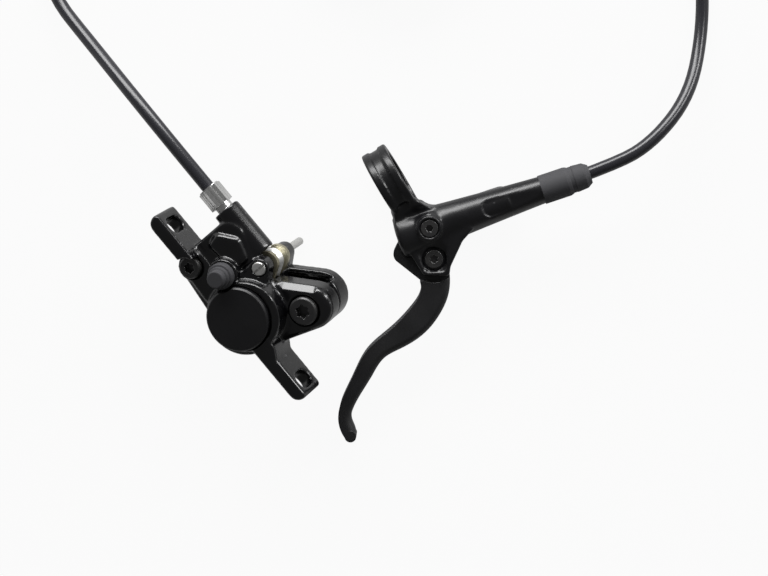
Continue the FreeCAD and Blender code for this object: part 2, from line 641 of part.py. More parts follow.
def lever_blade():
    """Two-finger blade with its pivot eye and the nose that pushes the piston."""

    def beside_pivot(points):
        return [Vector(PIVOT.x + x, PIVOT.y + y, 0) for x, y in points]

    back = Part.BSplineCurve()
    back.interpolate(beside_pivot(BLADE_BACK))
    front = Part.BSplineCurve()
    front.interpolate(beside_pivot(BLADE_FRONT))
    tip = Part.Arc(beside_pivot(BLADE_BACK[-1:])[0], beside_pivot([(-61.5, -44.5)])[0],
                   beside_pivot(BLADE_FRONT[:1])[0])
    root = Part.LineSegment(beside_pivot(BLADE_FRONT[-1:])[0], beside_pivot(BLADE_BACK[:1])[0])
    half = number("blade_half_height")
    face = Part.Face(Part.Wire([curve.toShape() for curve in (back, tip, front, root)]))
    face.translate(Vector(0, 0, PLANE.number - half))
    grip = face.extrude(Vector(0, 0, 2 * half))
    long_edges = [edge for edge in grip.Edges if edge.BoundBox.ZLength < 1e-3 and edge.BoundBox.XLength > 30]
    long_edges.sort(key=lambda edge: edge.CenterOfMass.y)
    grip = grip.makeFillet(number("finger_round"), long_edges[:2])

    depth = number("slot_half_height") - number("side_gap")
    base = Vector(0, 0, PLANE.number - depth)

    def flat(outline):
        face_here = Part.Face(Part.Wire([curve.toShape() for curve in outline]))
        face_here.translate(base)
        return face_here.extrude(Vector(0, 0, 2 * depth))

    eye = (PIVOT.x, PIVOT.y, number("pivot_eye_radius"))
    elbow = (PIVOT.x - 9.2, PIVOT.y + 7.2, 3.6)
    shoulder = (PIVOT.x - 5.2, PIVOT.y - 2.6, 3.8)
    nose = (NOSE.x, NOSE.y, number("nose_radius"))
    head = flat(belt(eye, elbow)).fuse(flat(belt(elbow, nose)))
    head = head.fuse(flat(belt(eye, shoulder))).fuse(flat(belt(elbow, shoulder)))
    lug_room = number("lug_sweep_radius")
    room = Part.makeCylinder(lug_room, 4 * half, Vector(PIVOT.x, PIVOT.y, PLANE.number - 2 * half))
    grip = grip.cut(room.cut(Part.makeCylinder(lug_room + 1, 2 * depth, Vector(PIVOT.x, PIVOT.y, base.z))))
    blade = grip.fuse(head).removeSplitter()
    bushing = number("pivot_pin_radius") + number("running_gap") + number("bushing_wall")
    bore = Part.makeCylinder(bushing, 20, Vector(PIVOT.x, PIVOT.y, PLANE.number - 10))
    return Shaped("lever_blade", LEVER, blade.cut(bore))


def pivot_set():
    """Pivot pin, its bush in the blade and the clip that holds it."""
    lug, pocket = size("lug_half_height"), size("pin_pocket_depth")
    pin_radius = size("pivot_pin_radius")
    pin = Piece("pivot_pin", upright_seat(PIVOT.x, PIVOT.y, PLANE.number))
    top = lug - pocket
    head_top = top + size("pin_head_height")
    head = size("pin_head_radius")
    groove = top + 0.1
    pin.turned([(0, -lug), (pin_radius, -lug), (pin_radius, -groove - 0.8), (pin_radius - 0.5, -groove - 0.8),
                (pin_radius - 0.5, -groove), (pin_radius, -groove), (pin_radius, top), (head, top),
                (head, head_top), (0, head_top)])
    pin.sunk(head_top - 1.0, 2, torx(0, 0, 1.9))
    bush = Piece("pivot_bushing", upright_seat(PIVOT.x, PIVOT.y, PLANE.number))
    inner = pin_radius + size("running_gap")
    outer = inner + size("bushing_wall")
    half = size("slot_half_height") - size("side_gap") + 0.1
    bush.turned([(inner, -half), (outer, -half), (outer, half), (inner, half)])
    clip = Piece("pivot_clip", upright_seat(PIVOT.x, PIVOT.y, PLANE.number))
    clip.turned([(pin_radius - 0.5, -groove - 0.8), (pin_radius + 1.7, -groove - 0.8),
                 (pin_radius + 1.7, -groove), (pin_radius - 0.5, -groove)])
    clip.sunk(-groove - 1.8, 3, lines_and_arcs([(-1.2, -6, 0), (1.2, -6, 0), (1.2, 0.2, 0), (-1.2, 0.2, 0)]))


def piston_train():
    """Pushrod, piston, cups, spring and stop clip in the master cylinder."""
    disc, disc_height = size("pushrod_disc_radius"), size("pushrod_disc_height")
    rod, rod_length = size("pushrod_radius"), size("pushrod_length")
    pushrod = Piece("pushrod", barrel_seat(PUSH_PLANE))
    pushrod.turned([(0, 0), (disc, 0), (disc, disc_height), (rod, disc_height), (rod, rod_length), (0, rod_length)])
    bore = size("master_bore_radius")
    gap = size("running_gap")
    land = bore - gap
    neck = size("piston_neck_radius")
    start = number("pushrod_length") - 3.0
    length = size("piston_length")
    width = size("piston_land")
    cup = size("cup_width")
    piston = Piece("master_piston", barrel_seat(PUSH_PLANE + start))
    socket = 3.0
    piston.turned([(0, socket), (rod + 0.1, socket), (rod + 0.1, 0), (land, 0), (land, width), (neck, width),
                   (neck, width + cup), (land, width + cup), (land, width * 2 + cup), (neck, width * 2 + cup),
                   (neck, length - width - cup), (land, length - width - cup), (land, length - cup),
                   (neck, length - cup), (neck, length), (0, length)])
    for label, base in (("secondary_cup", width), ("primary_cup", length - cup)):
        ring = Piece(label, barrel_seat(PUSH_PLANE + start))
        ring.turned([(neck + 0.02, base + 0.05), (land, base + 0.05), (land, base + cup - 0.05),
                     (land - 0.7, base + cup - 0.05), (land - 1.0, base + cup * 0.5),
                     (neck + 0.6, base + cup * 0.5), (neck + 0.02, base + cup - 0.05)])
    clip = Piece("piston_stop_clip", barrel_seat(PUSH_PLANE))
    clip_base = size("pushrod_disc_height") + size("stroke") + 0.3
    clip.turned([(bore - 1.6, clip_base), (bore, clip_base), (bore, clip_base + size("stop_clip_height")),
                 (bore - 1.6, clip_base + size("stop_clip_height"))])
    wire = number("spring_wire_radius")
    first = PUSH_PLANE + start + number("piston_length") + wire + 0.05
    last = number("master_bore_end") - wire - 0.05
    mean = number("master_bore_radius") - wire - 0.5
    turns, steps = number("spring_turns"), 10
    count = int(turns * steps)
    coil = []
    for index in range(count + 1):
        angle = 2 * math.pi * index / steps
        rise = (last - first) * index / count
        coil.append(Vector(mean * math.cos(angle), mean * math.sin(angle), rise))
    way = (coil[1] - coil[0]).normalize()
    across = way.cross(HEIGHT_AXIS).normalize()
    section = []
    for index in range(6):
        angle = math.pi / 3 * index
        section.append(coil[0] + across * (wire * math.cos(angle)) + across.cross(way) * (wire * math.sin(angle)))
    spring = Part.makePolygon(coil).makePipeShell([Part.makePolygon(section + section[:1])], True, False, 1)
    Shaped("master_spring", barrel_seat(first), spring)


def reservoir_set():
    """Bleed screw on top, diaphragm, lid and its screws below."""
    top = PLANE + size("barrel_root_radius") + size("bleed_boss_stand")
    screw_radius = size("bleed_screw_radius") - size("running_gap")
    depth = size("bleed_screw_depth")
    seal_height = 0.8
    screw = Piece("bleed_screw", upright_seat(number("bleed_along"), number("bleed_across"), top.number))
    screw.turned([(0, seal_height - depth), (screw_radius, seal_height - depth), (screw_radius, -0.9),
                  (screw_radius - 0.5, -0.4), (0, -0.4)])
    screw.sunk(-2.0, 3, hexagon(0, 0, size("bleed_key_flats")))
    seal = Piece("bleed_screw_seal", upright_seat(number("bleed_along"), number("bleed_across"), top.number))
    seal.turned([(screw_radius - 1.0, -depth), (screw_radius, -depth), (screw_radius, seal_height - depth),
                 (screw_radius - 1.0, seal_height - depth)])
    thickness = size("diaphragm_thickness")
    screws = [Circle(spot.x, spot.y, size("lid_screw_radius")) for spot in LID_SCREWS]
    rim = 0.3
    diaphragm = Piece("reservoir_diaphragm", LEVER)
    diaphragm.raised(LID_PLANE, thickness, reservoir_outline(number("reservoir_wall") + 0.1), *screws)
    lid = Piece("reservoir_lid", LEVER)
    lid.raised(LID_PLANE - size("lid_thickness"), size("lid_thickness"), reservoir_outline(rim), *screws)
    bolts = Piece("reservoir_lid_screws", LEVER)
    bolts.body.AllowCompound = True
    for spot in LID_SCREWS:
        head = Circle(spot.x, spot.y, size("lid_screw_head_radius"))
        bolts.raised(LID_PLANE - size("lid_thickness") - 1.0, 1.0, head)
        bolts.raised(LID_PLANE - size("lid_thickness"), size("lid_thickness") + size("reservoir_depth") - 1.6,
                     Circle(spot.x, spot.y, size("lid_screw_radius")))


def lever_hose_fittings():
    """Rubber cover, connecting bolt, olive and insert at the master cylinder's end."""
    hose = size("hose_radius")
    radius, groove = size("cover_radius"), size("cover_groove_radius")
    length = size("cover_length")
    neck = size("barrel_neck_radius")
    cover = Piece("hose_nut_cover", barrel_seat(number("barrel_length") - number("cover_overlap")))
    step = size("cover_overlap")
    inner = size("nut_flats") / 2 * RADIUS_OF_HEX + 0.1
    room = step + size("connector_head_length") + 0.1
    waist = length * 0.6
    cover.turned([(neck + 0.15, 0), (radius, 0), (radius, waist - 1.4), (radius - 0.3, waist - 0.4),
                  (groove, waist), (groove, waist + 1.2), (radius - 0.4, waist + 1.6),
                  (radius - 0.7, length - 2.0, 1.0), (radius - 2.0, length),
                  (hose + 0.05, length), (hose + 0.05, room), (inner, room), (inner, step + 0.1),
                  (neck + 0.15, step + 0.1)])
    end = number("barrel_length")
    thread = size("connector_thread_radius")
    bolt = Piece("connecting_bolt", barrel_seat(end))
    screw_depth = size("nut_socket_depth") - 4.5
    head_length = size("connector_head_length")
    bolt.turned([(hose + 0.05, -screw_depth), (thread, -screw_depth), (thread, 0), (4.0, 0), (4.0, head_length),
                 (hose + 0.05, head_length)])
    bolt.raised(0.02, head_length - 1.5, hexagon(0, 0, size("nut_flats")), Circle(0, 0, hose + 0.05))
    olive_and_insert("lever", barrel_seat(end - number("nut_socket_depth")))


def olive_and_insert(side, seat):
    """Olive round the hose and the insert in its end; +Z runs along the hose."""
    hose = size("hose_radius")
    head, olive = size("insert_head"), size("olive_length")
    insert = Piece(side + "_hose_insert", seat)
    bore = size("hose_bore_radius")
    insert.turned([(0.6, 0), (hose - 0.3, 0), (hose - 0.3, head), (bore - 0.02, head),
                   (bore - 0.02, size("insert_length")), (0.6, size("insert_length"))])
    ring = Piece(side + "_olive", seat)
    swell = hose + size("olive_swell")
    ring.turned([(hose + 0.02, head * 0.4), (swell, head + olive * 0.35), (swell, head * 0.5 + olive * 0.65),
                 (hose + 0.02, olive + head * 0.5)])


# Caliper: axes b (to the pad pin's side), t (towards the hose), a (out from the rotor)

RADIAL = direction_of(number("rotor_bearing"))
TANGENT = HEIGHT_AXIS.cross(RADIAL)
ROTOR = RADIAL * -number("rotor_distance")
LONG_BOLT = (size("long_bolt_b"), size("long_bolt_t"))
SHORT_BOLT = (size("short_bolt_b"), size("short_bolt_t"))
PIN = RADIAL * number("pad_tab_reach")


def pad_outline(grow):
    """Pad with its pin tab, drawn about the piston's axis and grown by a clearance."""
    width, depth = number("pad_half_width") + grow, number("pad_half_depth") + grow
    tab, corner = number("pad_tab_radius") + grow, number("pad_corner")
    reach = number("pad_tab_reach") + number("pad_tab_radius") + grow
    spots = [(-depth, -width, corner), (depth - 2, -width, corner), (depth, -tab, 0.8), (reach, -tab, tab * 0.96),
             (reach, tab, tab * 0.96), (depth, tab, 0.8), (depth - 2, width, corner), (-depth, width, corner)]
    return [(RADIAL * r + TANGENT * s, corner_radius) for r, s, corner_radius in spots]


def as_outline(spots):
    return lines_and_arcs([(spot.x, spot.y, radius) for spot, radius in spots])


SIDE_WAY = direction_of(-(90 - number("side_bearing")))
SIDE_NORMAL = HEIGHT_AXIS.cross(SIDE_WAY)


def beside_lobe(spots):
    """Outline through (along, out, rounding) spots, measured along the bolt lobe's upper side."""
    return as_outline([(SIDE_WAY * along + SIDE_NORMAL * out, corner) for along, out, corner in spots])


def outer_half():
    """Outer half: housing for the screwed-in cap, mounting ears, hose port and bleed boss."""
    half = Piece("outer_half", CALIPER)
    plate, housing = size("plate_height"), size("housing_height")
    shift = number("housing_shift")
    housing_circle = (-shift, -shift, number("housing_radius"))
    lobe = (number("outer_lobe_b"), number("outer_lobe_t"), number("outer_lobe_radius"))
    half.raised(0, plate, belt(housing_circle, lobe))
    half.rounded(size("plate_round"), lies_at(plate))
    short = (number("short_bolt_b"), number("short_bolt_t"), number("short_boss_radius"))
    shoulder_top = size("short_boss_height") - 1.2
    half.raised(0, shoulder_top, belt_of_three((0, 0, 12.4), (14.2, 24.6, 6.4), short))
    half.rounded(1.0, lies_at(shoulder_top))
    half.raised(6, size("short_boss_height") - 6, Circle(*SHORT_BOLT, size("short_boss_radius")))
    half.rounded(0.5, lies_at(size("short_boss_height")))
    lug_top = size("pin_lug_height")
    half.raised(size("pin_lug_start"), lug_top - size("pin_lug_start"),
                belt((7.0, 5.4, 7.0), (PIN.x, PIN.y, number("pin_lug_radius"))))
    half.rounded(0.8, lies_at(lug_top))
    plateau = lines_and_arcs([(6.8, 27.9, 2.2), (12.6, 29.2, 2.4), (18.4, 22.4, 2.4), (15.6, 13.6, 2.4),
                              (8.4, 15.6, 2.2)])
    half.raised(6, size("plateau_height") - 6, plateau)
    half.rounded(size("plateau_round"), lies_at(size("plateau_height")))
    step_top = housing - size("housing_step")
    half.raised(6, step_top - 6, Circle(-shift, -shift, size("housing_radius")))
    half.rounded(size("housing_round"), lies_at(step_top))
    half.raised(6, size("nipple_boss_height") - 6,
                Circle(size("nipple_b"), size("nipple_t"), size("nipple_boss_radius")))
    half.raised(6, housing - 6, Circle(0, 0, size("cap_seat_radius")))
    crescent_top = housing + size("crescent_stand")
    half.raised(6, crescent_top - 6,
                Circle(size("crescent_shift"), -size("crescent_shift") / 2, size("crescent_radius")))
    half.rounded(size("crescent_round"), lies_at(crescent_top))
    boss_length = size("boss_end") - size("boss_start")
    half.round_bar(Vector(number("boss_b"), number("boss_start"), number("boss_a")), Vector(0, 1, 0),
                   size("boss_radius"), boss_length)

    seat, thick = number("ear_seat"), number("ear_thickness")
    low, high = size("ear_low"), size("ear_high")
    corner = number("ear_round")
    upper_tip, lower_tip = number("upper_ear_tip"), number("lower_ear_tip")
    upper_root = lines_and_arcs([(seat + 1, 12, 0), (seat + 1, 31, 1.5), (seat - thick - 3, 31, 3),
                                 (seat - thick - 4.5, 12, 0)])
    half.raised(low, size("short_boss_height") - low, upper_root)
    lower = lines_and_arcs([(seat - thick, -11, 0), (seat - thick, -lower_tip, corner),
                            (seat, -lower_tip, 1.4), (seat, -20.2, 1.4), (seat + 2.6, -16.4, 1.4),
                            (seat + 3.4, -9, 0)])
    half.raised(low, high - low, lower)
    half.rounded(size("ear_edge"), lies_at(high))
    upper = lines_and_arcs([(seat, 27, 0), (seat, upper_tip, 1.4), (seat - thick, upper_tip, corner),
                            (seat - thick, 27, 0)])
    upper_top = high - 0.2
    half.raised(low, upper_top - low, upper)
    half.rounded(size("ear_edge"), lies_at(upper_top))

    gap = size("rotor_gap")
    half.sunk(-1, gap + 1, Circle(ROTOR.x, ROTOR.y, size("rotor_radius")))
    pad_top = size("lining_gap") + size("lining_thickness") + size("pad_plate_thickness")
    half.sunk(-1, pad_top + 1.1, as_outline(pad_outline(number("pad_clearance"))))
    piston = size("piston_radius") + size("running_gap")
    half.sunk(0, housing + 4, Circle(0, 0, piston))
    cap_depth = size("cap_thread_depth")
    seal_room = size("cap_seal_radius") * 1.4 + 0.03
    half.sunk(housing - cap_depth - seal_room, cap_depth + seal_room + 6,
              Circle(0, 0, size("cap_thread_radius") + 0.02))
    half.sunk(housing, 6, Circle(0, 0, size("cap_radius") + 0.3))
    seal_base = pad_top + 2.0
    half.sunk(seal_base, size("seal_width"), Circle(0, 0, piston + size("seal_depth")))
    head = size("bolt_head_height")
    half.sunk(-1, 30, Circle(*LONG_BOLT, size("long_bolt_radius") + size("bolt_gap")))
    half.sunk(plate - 2.2, 20, Circle(*LONG_BOLT, size("long_head_radius") + 0.5))
    half.sunk(-1, 30, Circle(*SHORT_BOLT, size("short_bolt_radius") + size("bolt_gap")))
    half.sunk(size("short_boss_height") - head + 1.6, 20, Circle(*SHORT_BOLT, size("short_head_radius") + 0.4))
    half.sunk(-1, 30, Circle(PIN.x, PIN.y, size("pad_pin_radius") + 0.1))
    half.sunk(lug_top - 1.4, 6, Circle(PIN.x, PIN.y, size("pad_pin_head_radius") + 0.3))
    half.sunk(size("nipple_boss_height") - 6, 12, Circle(size("nipple_b"), size("nipple_t"), size("nipple_radius")))
    half.sunk(size("nipple_boss_height"), 6,
              Circle(size("nipple_b"), size("nipple_t"), size("nipple_cap_radius") + 0.4))
    half.round_bar(Vector(number("boss_b"), number("boss_end") - 12, number("boss_a")), Vector(0, 1, 0),
                   size("flare_thread_radius") + 0.02, 13, cut=True)
    half.round_bar(Vector(number("boss_b"), number("boss_start") + 2, number("boss_a")), Vector(0, 1, 0), 1.0, 12,
                   cut=True)
    span = (number("ear_slot_length") - 2 * number("ear_slot_radius")) / 2
    middle = (number("ear_low") + number("ear_high")) / 2
    for slot_at in (number("upper_ear_slot"), -number("lower_ear_slot")):
        half.sunk(-14, 24, slot_outline(slot_at, middle, span, number("ear_slot_radius")), role="YZ_Plane")
    return half


def inner_half():
    """Inner half: closed piston housing, threads for the body bolts, hollow side with a flange."""
    half = Piece("inner_half", CALIPER)
    plate = size("plate_height")
    bore = (0, 0, number("inner_plate_radius"))
    lobe = (number("inner_lobe_b"), number("inner_lobe_t"), number("inner_lobe_radius"))
    short = (number("short_bolt_b"), number("short_bolt_t"), number("short_boss_radius"))
    lug = (PIN.x, PIN.y, number("pin_lug_radius"))

    def slab(base, top, loop):
        half.raised(-Size.of(top), Size.of(top) - base, loop)

    def hole(base, top, loop):
        half.sunk(-Size.of(top), Size.of(top) - base, loop)

    slab(0, plate, belt(bore, lobe))
    slab(0, plate, belt_of_three((0, 0, 12.4), (9.5, 23.4, 6.0), short))
    slab(size("pin_lug_start"), size("pin_lug_height"), belt((7.0, 5.4, 7.0), lug))
    depth, bevel = size("inner_depth"), size("rim_bevel")
    half.raised(-depth, depth - 6, Circle(0, 0, size("inner_radius")))
    half.rounded(bevel, is_round_edge_at(-depth), chamfer=True)
    near, far = number("trough_near"), number("trough_far")
    start, end = number("trough_start"), number("trough_end")
    hole(-1, size("flange_top"), beside_lobe([(start, far - 1, 0), (end + 2, far - 1, 0), (end + 2, 20, 0),
                                              (start, 20, 0)]))
    hole(-1, size("trough_floor"), beside_lobe([(start, near, 0.9), (end, near, 0.9), (end, far, 0.9),
                                                (start, far, 0.9)]))
    hole(-1, size("rotor_gap"), Circle(ROTOR.x, ROTOR.y, size("rotor_radius")))
    pad_top = size("lining_gap") + size("lining_thickness") + size("pad_plate_thickness")
    hole(-1, pad_top + 0.1, as_outline(pad_outline(number("pad_clearance"))))
    piston = size("piston_radius") + size("running_gap")
    hole(0, depth - 1.9, Circle(0, 0, piston))
    hole(pad_top + 2.0, pad_top + 2.0 + size("seal_width"), Circle(0, 0, piston + size("seal_depth")))
    hole(-1, 11, Circle(*LONG_BOLT, size("long_bolt_radius")))
    hole(-1, 8.5, Circle(*SHORT_BOLT, size("short_bolt_radius")))
    hole(-1, 29, Circle(PIN.x, PIN.y, size("pad_pin_radius") + 0.1))
    return half


def pistons_and_pads():
    """Pistons, square seals, pad plates and linings on both sides of the rotor."""
    gap, lining = size("lining_gap"), size("lining_thickness")
    plate = size("pad_plate_thickness")
    face = gap + lining + plate
    wall = size("piston_wall")
    seal_bottom = size("housing_height") - size("cap_thread_depth") - size("cap_seal_radius") * 1.4
    outer_top = seal_bottom - size("piston_room")
    inner_top = size("inner_depth") - 4.3
    radius, seal = size("piston_radius"), size("seal_width")
    shrink = 0.9
    for side, name in ((1, "outer"), (-1, "inner")):
        seat = CALIPER if side > 0 else CALIPER.multiply(Placement(Vector(), Rotation(Vector(1, 0, 0), 180)))
        piston = Piece(name + "_piston", seat)
        top = outer_top if side > 0 else inner_top
        piston.turned([(0, face + 1.6), (radius - wall, face + 1.6), (radius - wall, face), (radius - 0.3, face),
                       (radius, face + 0.3), (radius, top), (radius - wall, top),
                       (radius - wall, face + 3.4), (0, face + 3.4)])
        ring = Piece(name + "_piston_seal", seat)
        running = size("running_gap")
        ring.turned([(radius + running, face + 2.0), (radius + size("seal_depth"), face + 2.0),
                     (radius + size("seal_depth"), face + 2.0 + seal), (radius + running, face + 2.0 + seal)])
        base = gap + lining if side > 0 else -face
        backing = Piece(name + "_pad_plate", CALIPER)
        pin_hole = Circle(PIN.x, PIN.y, size("pad_pin_radius") + 0.25)
        backing.raised(base, plate, as_outline(pad_outline(0)), pin_hole)
        reach, side_reach = number("pad_half_depth") - shrink, number("pad_half_width") - shrink
        corner = number("pad_corner") - shrink
        spots = [(-reach, -side_reach, corner), (reach, -side_reach, corner), (reach, side_reach, corner),
                 (-reach, side_reach, corner)]
        block = Piece(name + "_pad_lining", CALIPER)
        block.raised(gap if side > 0 else -gap - lining, lining,
                     as_outline([(RADIAL * r + TANGENT * s, c) for r, s, c in spots]))


def pad_hardware():
    """Pad pin with its bent tail and the leaf spring between the pads."""
    pin = Piece("pad_pin", CALIPER.multiply(Placement(Vector(PIN.x, PIN.y, 0), Rotation())))
    top = size("pin_lug_height")
    radius, tail = size("pad_pin_radius"), size("pad_pin_tail")
    head = size("pad_pin_head_radius")
    pin.turned([(0, -tail), (radius - 0.4, -tail), (radius, -tail + 0.4), (radius, top - 1.4), (head, top - 1.4),
                (head, top + 0.4, 0.5), (0, top + 0.4)])
    pin.sunk(top - 0.8, 3, lines_and_arcs([(-3, -0.4, 0), (3, -0.4, 0), (3, 0.4, 0), (-3, 0.4, 0)]))

    leaf = 0.4
    half_gap = number("lining_gap") + number("lining_thickness") - 0.65
    inner = number("pad_half_depth") + 1.2
    outer = number("pad_tab_reach") - number("pad_pin_radius") - 0.3
    width = 2.6
    arch = [(-half_gap, inner), (-half_gap, outer - 1.2), (-half_gap + 1.2, outer), (half_gap - 1.2, outer),
            (half_gap, outer - 1.2), (half_gap, inner)]
    inside = [(half_gap - leaf, inner), (half_gap - leaf, outer - 1.2 - leaf * 0.4),
              (half_gap - 1.2 - leaf * 0.4, outer - leaf), (-half_gap + 1.2 + leaf * 0.4, outer - leaf),
              (-half_gap + leaf, outer - 1.2 - leaf * 0.4), (-half_gap + leaf, inner)]
    points = [RADIAL * r + HEIGHT_AXIS * a - TANGENT * width for a, r in arch + inside]
    face = Part.Face(Part.makePolygon(points + points[:1]))
    Shaped("pad_spring", CALIPER, face.extrude(TANGENT * (2 * width)))


def body_bolts():
    """Two bolts that clamp the halves together."""
    plate = size("plate_height")
    head_height = size("bolt_head_height")
    for label, spot, radius, head, bearing, depth in (
            ("body_bolt_long", LONG_BOLT, size("long_bolt_radius"), size("long_head_radius"), plate - 2.2, 9.0),
            ("body_bolt_short", SHORT_BOLT, size("short_bolt_radius"), size("short_head_radius"),
             size("short_boss_height") - head_height + 1.6, 7.5)):
        bolt = Piece(label, CALIPER.multiply(Placement(Vector(float(spot[0]), float(spot[1]), 0), Rotation())))
        top = bearing + head_height
        bolt.turned([(0, -depth), (radius - 0.6, -depth), (radius - 0.02, -depth + 0.6), (radius - 0.02, bearing),
                     (head, bearing), (head, top - 0.5), (head - 0.5, top), (0, top)])
        bolt.sunk(top - 2.2, 4, torx(0, 0, float(head) * 0.58))


def piston_cap():
    """Cap screwed over the outer piston, notched beside the bleed nipple, and its seal."""
    housing = size("housing_height")
    face = housing + size("cap_stand")
    radius, thread = size("cap_radius"), size("cap_thread_radius")
    cap = Piece("piston_cap", CALIPER)
    depth = size("cap_thread_depth")
    inside = size("piston_radius") - 1.5
    cap.turned([(0, housing - 0.3), (inside, housing - 0.3), (inside, housing - depth + 0.05),
                (thread, housing - depth + 0.05), (thread, housing), (radius, housing), (radius, face - 0.6),
                (radius - 0.6, face), (0, face)])
    cap.sunk(housing - 6, 12, Circle(size("nipple_b"), size("nipple_t"), size("nipple_boss_radius") + 0.1))
    seal = Piece("piston_cap_seal", CALIPER)
    ring = size("cap_seal_radius")
    seal.turned([(thread - ring * 2, housing - depth - ring * 1.4), (thread, housing - depth - ring * 1.4),
                 (thread, housing - depth), (thread - ring * 2, housing - depth)])
    return cap


def bleed_nipple_set():
    """Bleed nipple and the rubber cap over it."""
    spot = Vector(number("nipple_b"), number("nipple_t"), 0)
    seat = CALIPER.multiply(Placement(spot, Rotation()))
    top = size("nipple_boss_height")
    radius, tip = size("nipple_radius"), size("nipple_tip_radius")
    nipple = Piece("bleed_nipple", seat)
    nipple.turned([(0, top - 5.5), (radius - 0.02, top - 4.5), (radius - 0.02, top), (3.6, top), (3.6, top + 2.4),
                   (tip, top + 2.6), (tip - 0.4, top + 3.6), (tip, top + 4.4), (tip - 0.5, top + 5.2),
                   (0, top + 5.2)])
    cap = Piece("bleed_nipple_cap", seat)
    outer = size("nipple_cap_radius")
    height = size("nipple_cap_height")
    button = outer - 1.6
    cap.turned([(3.65, top), (outer, top), (outer, top + 2.6, 0.6), (outer - 0.9, top + 2.8),
                (outer - 0.9, top + 3.9, 0.5), (button, top + 4.3), (button, top + height, 0.6), (0, top + height),
                (0, top + height - 1.5), (tip + 0.1, top + height - 1.6), (tip + 0.1, top + 2.7),
                (3.65, top + 2.5)])
    return cap


def caliper_hose_fittings():
    """Flare nut, olive and insert at the caliper's hose port; +Z runs along the hose."""
    hose = size("hose_radius")
    end = number("boss_end")
    port = Placement(Vector(number("boss_b"), end, number("boss_a")), facing(Vector(0, 1, 0)))
    nut = Piece("flare_nut", CALIPER.multiply(port))
    thread, length = size("flare_thread_radius"), size("flare_nut_length")
    collar = 2.0
    nut.turned([(hose + 0.05, -size("flare_thread_length")), (thread, -size("flare_thread_length")),
                (thread, -0.4), (3.2, 0), (3.2, collar), (4.1, collar), (4.1, length), (hose + 0.05, length)])
    nut.raised(collar, length - collar - 0.4, hexagon(0, 0, size("nut_flats")), Circle(0, 0, hose + 0.05))
    seat = CALIPER.multiply(port).multiply(Placement(Vector(0, 0, -12.0), Rotation()))
    olive_and_insert("caliper", seat)


# Hose: a tube along each free stretch and one ring for the coil of the put-away length


def tube_along(points, label):
    """Tube through hand-chosen points: straight runs joined by arcs as large as the runs allow."""
    radius = number("hose_radius")
    spots = [Vector(*point) for point in points]
    edges = []
    start = spots[0]
    for before, corner, after in zip(spots, spots[1:], spots[2:]):
        back, ahead = before - corner, after - corner
        half_turn = (math.pi - back.getAngle(ahead)) / 2
        shorter = min(back.Length, ahead.Length)
        cut = 0.45 * shorter
        bend = cut / math.tan(half_turn)
        arc_start = corner + back.normalize() * cut
        arc_end = corner + ahead.normalize() * cut
        middle = (arc_start + arc_end) / 2
        inward = middle - corner
        deepest = corner + inward.normalize() * (bend / math.cos(half_turn) - bend)
        edges.append(Part.LineSegment(start, arc_start).toShape())
        edges.append(Part.Arc(arc_start, deepest, arc_end).toShape())
        start = arc_end
        print("%s bend radius %.0f, turn %.0f" % (label, bend, math.degrees(2 * half_turn)))
    edges.append(Part.LineSegment(start, spots[-1]).toShape())
    path = Part.Wire(edges)
    ring = Part.Wire([Part.Circle(spots[0], spots[1] - spots[0], radius).toShape()])
    tube = path.makePipe(Part.Face(ring))
    expected = math.pi * radius ** 2 * path.Length
    print("%s length %.0f, volume %.1f against %.1f" % (label, path.Length, tube.Volume, expected))
    return tube


